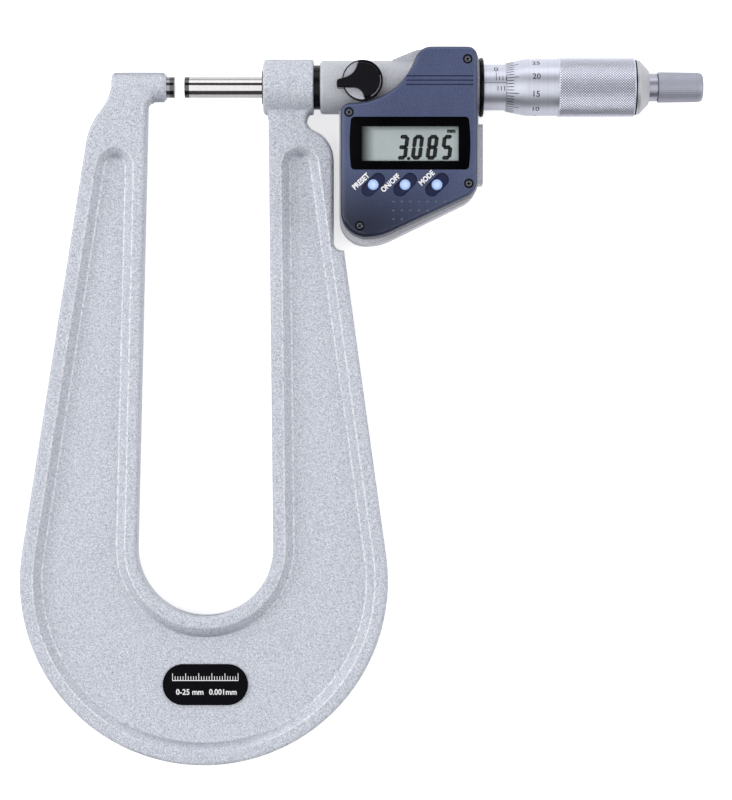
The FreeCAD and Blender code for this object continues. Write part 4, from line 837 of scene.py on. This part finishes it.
# %% Ribbed knob
RIBS = 44
bm = bmesh.new()
sections = [
    (146.22, 3.9, 0.0),
    (146.22, 4.42, 0.0),
    (146.42, 4.6, 0.0),
    (147.0, 4.6, 0.0),
    (147.25, 4.6, 0.09),
    (157.9, 4.47, 0.09),
    (158.4, 4.44, 0.0),
    (158.98, 4.34, 0.0),
    (159.4, 4.15, 0.0),
    (159.65, 3.9, 0.0),
    (159.78, 3.52, 0.0),
    (159.78, 3.4, 0.0),
]
loops = []
for x, radius, depth in sections:
    made = bmesh.ops.create_circle(bm, cap_ends=False, segments=RIBS * 4, radius=radius)["verts"]
    for index, vert in enumerate(made):
        turn = math.tau * index / (RIBS * 4)
        reach = radius - depth * (0.5 - 0.5 * math.cos(turn * RIBS))
        vert.co = (x, reach * math.sin(turn), reach * math.cos(turn))
    loops.append(edges_of(made))
bridge_rings(bm, loops)
knob_skin = finish_piece("knob_skin", bm, "ratchet", "cap_metal", angle=50)
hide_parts("ratchet_knob")

# %% [markdown]
# ## The display
#
# The figures are seven-segment shapes. A segment is a circle of six corners pulled long, and a table
# says which segments each figure lights. The whole row leans seven degrees, by one shear. Print here
# and on the cover lies 0.02 mm proud of its ground.

# %% Figures on the panel
PRINT_LIFT = 0.02
PANEL_TOP = 12.45 + PRINT_LIFT
DIGIT_TALL, DIGIT_WIDE, DIGIT_PITCH, SEGMENT = 7.45, 3.25, 4.4, 1.2
LIT = {"3": "abcdg", "0": "abcdef", "8": "abcdefg", "5": "acdfg"}


def segment(bm, x, y, length, upright):
    """One six-cornered bar."""
    made = bmesh.ops.create_circle(bm, cap_ends=True, segments=6, radius=1.0)["verts"]
    for vert in made:
        tip = abs(vert.co.x) < 0.1
        across = 0 if tip else math.copysign(SEGMENT / 2, vert.co.x)
        along = math.copysign(length / 2 if tip else length / 2 - SEGMENT * 0.32, vert.co.y)
        vert.co = (x + across, y + along, 0) if upright else (x + along, y - across, 0)


def digit(bm, figure, centre_x, centre_y):
    """A figure made of bars."""
    half_w = (DIGIT_WIDE - SEGMENT) / 2
    half_h = (DIGIT_TALL - SEGMENT) / 2
    places = {
        "a": (0, half_h, False),
        "g": (0, 0, False),
        "d": (0, -half_h, False),
        "b": (half_w, half_h / 2, True),
        "c": (half_w, -half_h / 2, True),
        "f": (-half_w, half_h / 2, True),
        "e": (-half_w, -half_h / 2, True),
    }
    for name in LIT[figure]:
        x, y, upright = places[name]
        length = (half_h if upright else 2 * half_w) + 0.2
        segment(bm, centre_x + x, centre_y + y, length, upright)


bm = bmesh.new()
for place, figure in enumerate("3085"):
    digit(bm, figure, (place - 1.5) * DIGIT_PITCH, 0)
dot = bmesh.ops.create_circle(bm, cap_ends=True, segments=20, radius=0.52)["verts"]
bmesh.ops.translate(bm, vec=(-4.42, -DIGIT_TALL / 2 + 0.35, 0), verts=dot)
lean = math.tan(math.radians(7))
for vert in bm.verts:
    vert.co.x += vert.co.y * lean
bmesh.ops.translate(bm, vec=(75.5, -19.3, PANEL_TOP), verts=bm.verts)
finish_piece("display_figures", bm, "frame", "digit_ink", flip_check=False)

bm = flat_words("mm", 1.05, 0.75)
bmesh.ops.scale(bm, vec=(0.95, 1, 1), verts=bm.verts)
bmesh.ops.translate(bm, vec=(83.38, -14.5, PANEL_TOP), verts=bm.verts)
finish_piece("display_unit", bm, "frame", "digit_ink", flip_check=False)

# %% [markdown]
# ## Buttons
#
# Each button sits in a slanted oval well of glossy navy plastic. The well's lining is an oval that is
# inset for the button's hole, with a wall standing at its edge.

# %% Well linings
COVER_FRONT = 13.5
WELL_ANGLE = 45


def oval_loop(bm, centre, long_side, wide, height):
    """The outline of a slanted oval as a loop of edges."""
    made = bmesh.ops.create_circle(bm, cap_ends=False, segments=48, radius=wide / 2)["verts"]
    for vert in made:
        vert.co.x += math.copysign((long_side - wide) / 2, vert.co.x) if abs(vert.co.x) > 1e-4 else 0
    turn_upright(bm, made, WELL_ANGLE)
    bmesh.ops.translate(bm, vec=(*centre, height), verts=made)
    return edges_of(made)


for index, name in enumerate(("preset", "power", "mode")):
    bm = bmesh.new()
    centre = (BUTTON_FIRST + index * BUTTON_PITCH, BUTTON_Y)
    bridge_rings(bm, [
        oval_loop(bm, centre, 8.26, 4.06, COVER_FRONT + 0.01),
        oval_loop(bm, centre, 8.14, 3.94, COVER_FRONT - 0.08),
        oval_loop(bm, centre, 8.0, 3.8, COVER_FRONT - 0.68),
        oval_loop(bm, centre, 3.5, 3.48, COVER_FRONT - 0.68),
    ])
    finish_piece(f"{name}_well", bm, "frame", "navy_plastic", angle=30)

# %% [markdown]
# A label slants upwards beside each well. The lettering is narrowed a little to fit.

# %% Button labels
LABELS = [("PRESET", 56.4, -29.5), ("ON/OFF", 65.2, -30.0), ("MODE", 76.0, -28.5)]
LABEL_ANGLE, LABEL_TALL, LABEL_NARROW = 43, 1.7, 0.86

bm = bmesh.new()
for words, x, y in LABELS:
    label = flat_words(words, LABEL_TALL, 0.35)
    bmesh.ops.scale(label, vec=(LABEL_NARROW, 1, 1), verts=label.verts)
    turn_upright(label, label.verts, LABEL_ANGLE)
    bmesh.ops.translate(label, vec=(x, y, COVER_FRONT + PRINT_LIFT), verts=label.verts)
    add_mesh(bm, label)
finish_piece("button_labels", bm, "frame", "white_ink", flip_check=False)

# %% [markdown]
# Rows of small raised dots below the buttons help the thumb find its place. Each is a ball flattened
# to a low dome.

# %% Thumb dots
DOT_ROWS = [(-35.6, 7), (-38.2, 5), (-40.8, 2)]
bm = bmesh.new()
for y, count in DOT_ROWS:
    for place in range(count):
        made = bmesh.ops.create_uvsphere(bm, u_segments=16, v_segments=8, radius=0.5)["verts"]
        bmesh.ops.scale(bm, vec=(1, 1, 0.6), verts=made)
        bmesh.ops.translate(bm, vec=(66.15 + place * 2.53, y, COVER_FRONT - 0.22), verts=made)
finish_piece("thumb_dots", bm, "frame", "dot_plastic", angle=60)

# %% [markdown]
# Three shallow grooves cross the cover's top. Each gets painted shade, a dark strip on its floor.

# %% Painted shade in the grooves
GROOVE_LEFT, GROOVE_RIGHT, GROOVE_HALF = 69.95, 89.95, 0.17
bm = bmesh.new()
for middle in (1.88, 0.6, -0.68):
    # Painted shade: a dark strip on the groove's floor.
    paint = strip(bm, GROOVE_LEFT, GROOVE_RIGHT, middle - GROOVE_HALF, middle + GROOVE_HALF)
    bmesh.ops.translate(bm, vec=(0, 0, COVER_FRONT - 0.12), verts=paint)
finish_piece("groove_shade", bm, "frame", "navy_plastic", flip_check=False)

# %% [markdown]
# ## Cross-head screws
#
# A screw head is a low dome with a cross sunk in it. The cross could be cut with a boolean, but a
# ring of faces between the cross and the dome's rim, closed by bridging two loops, needs no cutter.

# %% Cover screws
SCREW_PLACES = [(88.24, 6.98), (52.88, -8.88), (88.6, -30.15), (56.06, -42.78)]
HEAD_TOP, HEAD_LOW, HEAD_RADIUS = 13.2, 12.3, 0.98
ARM, ARM_HALF, CROSS_DEPTH = 0.62, 0.19, 0.5
DOME = [(0.68, HEAD_TOP), (0.88, HEAD_TOP - 0.1), (HEAD_RADIUS, HEAD_TOP - 0.3), (HEAD_RADIUS, HEAD_LOW)]


def screw_turn(index):
    """How far a screw's cross is turned, in degrees, so that no two stand alike."""
    return 20 + 35 * index


def cross_screw(bm, x, y, turn):
    """A screw head with a tapered cross recess."""
    cross = []
    for quarter in range(4):
        for along, across in ((ARM, -ARM_HALF), (ARM, ARM_HALF), (ARM_HALF, ARM_HALF)):
            angle = quarter * math.pi / 2
            point = Matrix.Rotation(angle, 3, "Z") @ Vector((along, across, HEAD_TOP - 0.06))
            cross.append(bm.verts.new(point))
    edges = [bm.edges.new((cross[i], cross[(i + 1) % 12])) for i in range(12)]
    made = list(cross)
    rings = []
    for radius, height in DOME:
        ring = bmesh.ops.create_circle(bm, cap_ends=False, segments=36, radius=radius)["verts"]
        bmesh.ops.translate(bm, vec=(0, 0, height), verts=ring)
        made += ring
        rings.append(edges_of(ring))
    bmesh.ops.bridge_loops(bm, edges=edges + list(rings[0]))
    bridge_rings(bm, rings)
    bmesh.ops.contextual_create(bm, geom=list(rings[-1]))
    walls = bmesh.ops.extrude_edge_only(bm, edges=edges)["geom"]
    bottom = [item for item in walls if isinstance(item, bmesh.types.BMVert)]
    bmesh.ops.scale(bm, vec=(0.55, 0.55, 1), verts=bottom)
    bmesh.ops.translate(bm, vec=(0, 0, -CROSS_DEPTH), verts=bottom)
    bottom_edges = [
        item for item in walls
        if isinstance(item, bmesh.types.BMEdge) and all(vert in bottom for vert in item.verts)
    ]
    bmesh.ops.contextual_create(bm, geom=bottom_edges)
    made += bottom
    turn_upright(bm, made, turn)
    bmesh.ops.translate(bm, vec=(x, y, 0), verts=made)


bm = bmesh.new()
for index, (x, y) in enumerate(SCREW_PLACES):
    cross_screw(bm, x, y, screw_turn(index))
screw_heads = finish_piece("screw_heads", bm, "frame", "screw_steel", angle=30)
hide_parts("cover_screws")

# %% [markdown]
# Each cross gets a black floor, painted shade in its recess, and a black ring in the seat round each
# head paints the shade there.

# %% Painted shade in the crosses and seats
SEAT_RADIUS = 1.4
SEAT = [(HEAD_RADIUS - 0.05, HEAD_LOW), (SEAT_RADIUS, HEAD_LOW), (SEAT_RADIUS, 12.9), (0.97, 12.8)]

bm = bmesh.new()
for index, (x, y) in enumerate(SCREW_PLACES):
    # Painted shade: a black cross just under the head's top.
    cross = strip(bm, -ARM, ARM, -ARM_HALF, ARM_HALF) + strip(bm, -ARM_HALF, ARM_HALF, -ARM, ARM)
    turn_upright(bm, cross, screw_turn(index))
    bmesh.ops.translate(bm, vec=(x, y, HEAD_TOP - 0.22), verts=cross)
finish_piece("screw_cross_shade", bm, "frame", "black_plastic", flip_check=False)

# Painted shade: a black ring in each seat round the head.
bm = bmesh.new()
for x, y in SCREW_PLACES:
    seat = []
    for radius, height in SEAT:
        ring = bmesh.ops.create_circle(bm, cap_ends=False, segments=36, radius=radius)["verts"]
        bmesh.ops.translate(bm, vec=(x, y, height), verts=ring)
        seat.append(edges_of(ring))
    bridge_rings(bm, seat + seat[:1])
finish_piece("screw_seat_shade", bm, "frame", "black_plastic", angle=30)

# %% [markdown]
# ## The clamp lever
#
# The lever's disc is dished and silvered on its left side, above and below the grip, inside a thin
# black rim. A thin silver crescent on its right is a painted highlight. A small face spun round an
# upright axis gives each of them: a full turn for the rim, and part of a turn for the dish and the
# crescent. The grip of the imported part stands up through them.

# %% Lever rim, dish and painted highlight
LEVER_X, LEVER_Y, LEVER_RIM = 56.9, 0.85, 11.2


def spun_upright(bm, points, start=0.0, sweep=360.0, steps=64):
    """Spins a face of (radius, height) corners round the lever's axis, from one angle by a sweep."""
    ring = [bm.verts.new((LEVER_X + radius, LEVER_Y, height)) for radius, height in points]
    edges = [bm.edges.new((ring[i], ring[(i + 1) % len(ring)])) for i in range(len(ring))]
    centre = (LEVER_X, LEVER_Y, 0)
    turn_upright(bm, ring, start, centre)
    whole = sweep == 360.0
    caps = [] if whole else bmesh.ops.contextual_create(bm, geom=edges)["faces"]
    bmesh.ops.spin(
        bm, geom=ring + edges + caps, cent=centre, axis=(0, 0, 1), angle=math.radians(sweep), steps=steps,
        use_merge=whole,
    )
    bmesh.ops.remove_doubles(bm, verts=bm.verts, dist=0.0005)


bm = bmesh.new()
spun_upright(bm, [
    (5.72, LEVER_RIM - 0.1),
    (5.72, LEVER_RIM + 0.5),
    (5.8, LEVER_RIM + 0.6),
    (5.98, LEVER_RIM + 0.6),
    (6.08, LEVER_RIM + 0.5),
    (6.08, LEVER_RIM - 0.1),
])
finish_piece("lever_rim", bm, "clamp", "black_plastic", angle=40)

bm = bmesh.new()
spun_upright(bm, [
    (2.4, LEVER_RIM - 0.05),
    (2.4, LEVER_RIM + 0.03),
    (3.4, LEVER_RIM + 0.06),
    (4.4, LEVER_RIM + 0.15),
    (5.2, LEVER_RIM + 0.31),
    (5.73, LEVER_RIM + 0.5),
    (5.73, LEVER_RIM - 0.05),
], start=104, sweep=172)
# Painted highlight: a silver crescent on the right of the disc.
spun_upright(bm, [
    (5.3, LEVER_RIM + 0.2),
    (5.3, LEVER_RIM + 0.3),
    (5.5, LEVER_RIM + 0.36),
    (5.5, LEVER_RIM + 0.2),
], start=-62, sweep=78)
finish_piece("lever_dish_and_highlight", bm, "clamp", "silver_casting", angle=40)

# %% [markdown]
# ## The range plate
#
# A small oval plate on the web gives the range and the resolution. The print is plain lettering with
# a short ruler above it.

# %% Print on the plate
PLATE_THICK = 0.5
PLATE_TOP = WEB_TOP + PLATE_THICK + PRINT_LIFT
RULE_Y, RULE_LEFT, RULE_PITCH = -179.35, -0.5, 0.792

bm = bmesh.new()
for words, x in (("0-25 mm", 4.7), ("0.001mm", 14.7)):
    label = flat_words(words, 1.75, 0.15)
    low = min(vert.co.x for vert in label.verts)
    high = max(vert.co.x for vert in label.verts)
    squeeze = 8.3 / (high - low)
    bmesh.ops.scale(label, vec=(squeeze, 1, 1), verts=label.verts)
    bmesh.ops.translate(label, vec=(x, -182.9, PLATE_TOP), verts=label.verts)
    add_mesh(bm, label)
rule = strip(bm, -0.6, 19.4, RULE_Y - 0.2, RULE_Y)
bmesh.ops.translate(bm, vec=(0, 0, PLATE_TOP), verts=rule)
for place in range(26):
    tall = 2.1 if place % 5 == 0 else 1.2
    x = RULE_LEFT + place * RULE_PITCH
    tick = strip(bm, x - 0.09, x + 0.09, RULE_Y, RULE_Y + tall)
    bmesh.ops.translate(bm, vec=(0, 0, PLATE_TOP), verts=tick)
finish_piece("plate_print", bm, "frame", "white_ink", flip_check=False)

# %% [markdown]
# ## The studio
#
# A plain pale floor makes the white background. Its own colour keeps the soft shadow. A weak glow,
# which only the camera, mirrors and clear parts see, lifts it to white without lighting the
# instrument from below.

# %% Floor
FLOOR_TOP = -11.05 * MM

bm = bmesh.new()
bmesh.ops.create_grid(bm, x_segments=1, y_segments=1, size=4.0)
mesh = bpy.data.meshes.new("floor")
bm.to_mesh(mesh)
bm.free()
floor = bpy.data.objects.new("floor", mesh)
floor.location = (0, 0, FLOOR_TOP)
bpy.context.scene.collection.objects.link(floor)
floor_finish, tree, shader = start_finish("floor_white", Roughness=0.9)
shader.inputs["Base Color"].default_value = (0.88, 0.88, 0.88, 1)
rays = put(tree, "ShaderNodeLightPath")
seen = maths(tree, "MAXIMUM", rays.outputs["Is Camera Ray"], rays.outputs["Is Transmission Ray"])
mirrored = maths(tree, "MULTIPLY", rays.outputs["Is Glossy Ray"], 0.28)
strength = maths(tree, "ADD", maths(tree, "MULTIPLY", seen, 0.58), mirrored)
glow = put(tree, "ShaderNodeEmission", {"Color": (1, 1, 1, 1), "Strength": strength})
both = put(tree, "ShaderNodeAddShader", {0: shader.outputs[0], 1: glow.outputs[0]})
tree.links.new(both.outputs[0], tree.nodes["Material Output"].inputs["Surface"])
floor.data.materials.append(floor_finish)

# %% [markdown]
# Five soft lamps and a faint sky give the light. Two large lamps hang overhead with a gap between them
# at the camera, so that the flat black window mirrors the gap and stays black, and the rounded edges
# mirror the lamps. Low lamps on the left, behind and, weaker, on the right give the soft edges their
# lines of light.

# %% Lamps and world
def soft_lamp(name, place, aim, wide, deep, watts):
    """A rectangular lamp that faces a point."""
    data = bpy.data.lights.new(name, "AREA")
    data.shape = "RECTANGLE"
    data.size = wide
    data.size_y = deep
    data.energy = watts
    lamp = bpy.data.objects.new(name, data)
    lamp.location = place
    lamp.rotation_euler = (Vector(aim) - Vector(place)).to_track_quat("-Z", "Y").to_euler()
    bpy.context.scene.collection.objects.link(lamp)


soft_lamp("lamp_above_left", (-0.445, -0.33, 1.1), (-0.445, -0.3301, 0), 0.97, 1.38, 7.3)
soft_lamp("lamp_above_right", (0.585, -0.33, 1.1), (0.585, -0.3301, 0), 0.87, 1.38, 4.8)
soft_lamp("lamp_left", (-1.1, 0.1, 0.55), (0.0, -0.08, 0), 1.2, 0.5, 9.4)
soft_lamp("lamp_right", (1.2, -0.1, 0.6), (0.0, -0.1, 0), 1.0, 0.6, 5.6)
soft_lamp("lamp_back", (0.06, 1.05, 0.50), (0.06, 0, 0), 2.0, 0.70, 8.4)

world = bpy.data.worlds.new("studio")
bpy.context.scene.world = world
world.use_nodes = True
backdrop = world.node_tree.nodes["Background"]
backdrop.inputs["Color"].default_value = (0.97, 0.98, 1.0, 1)
backdrop.inputs["Strength"].default_value = 0.09
print("studio ready")
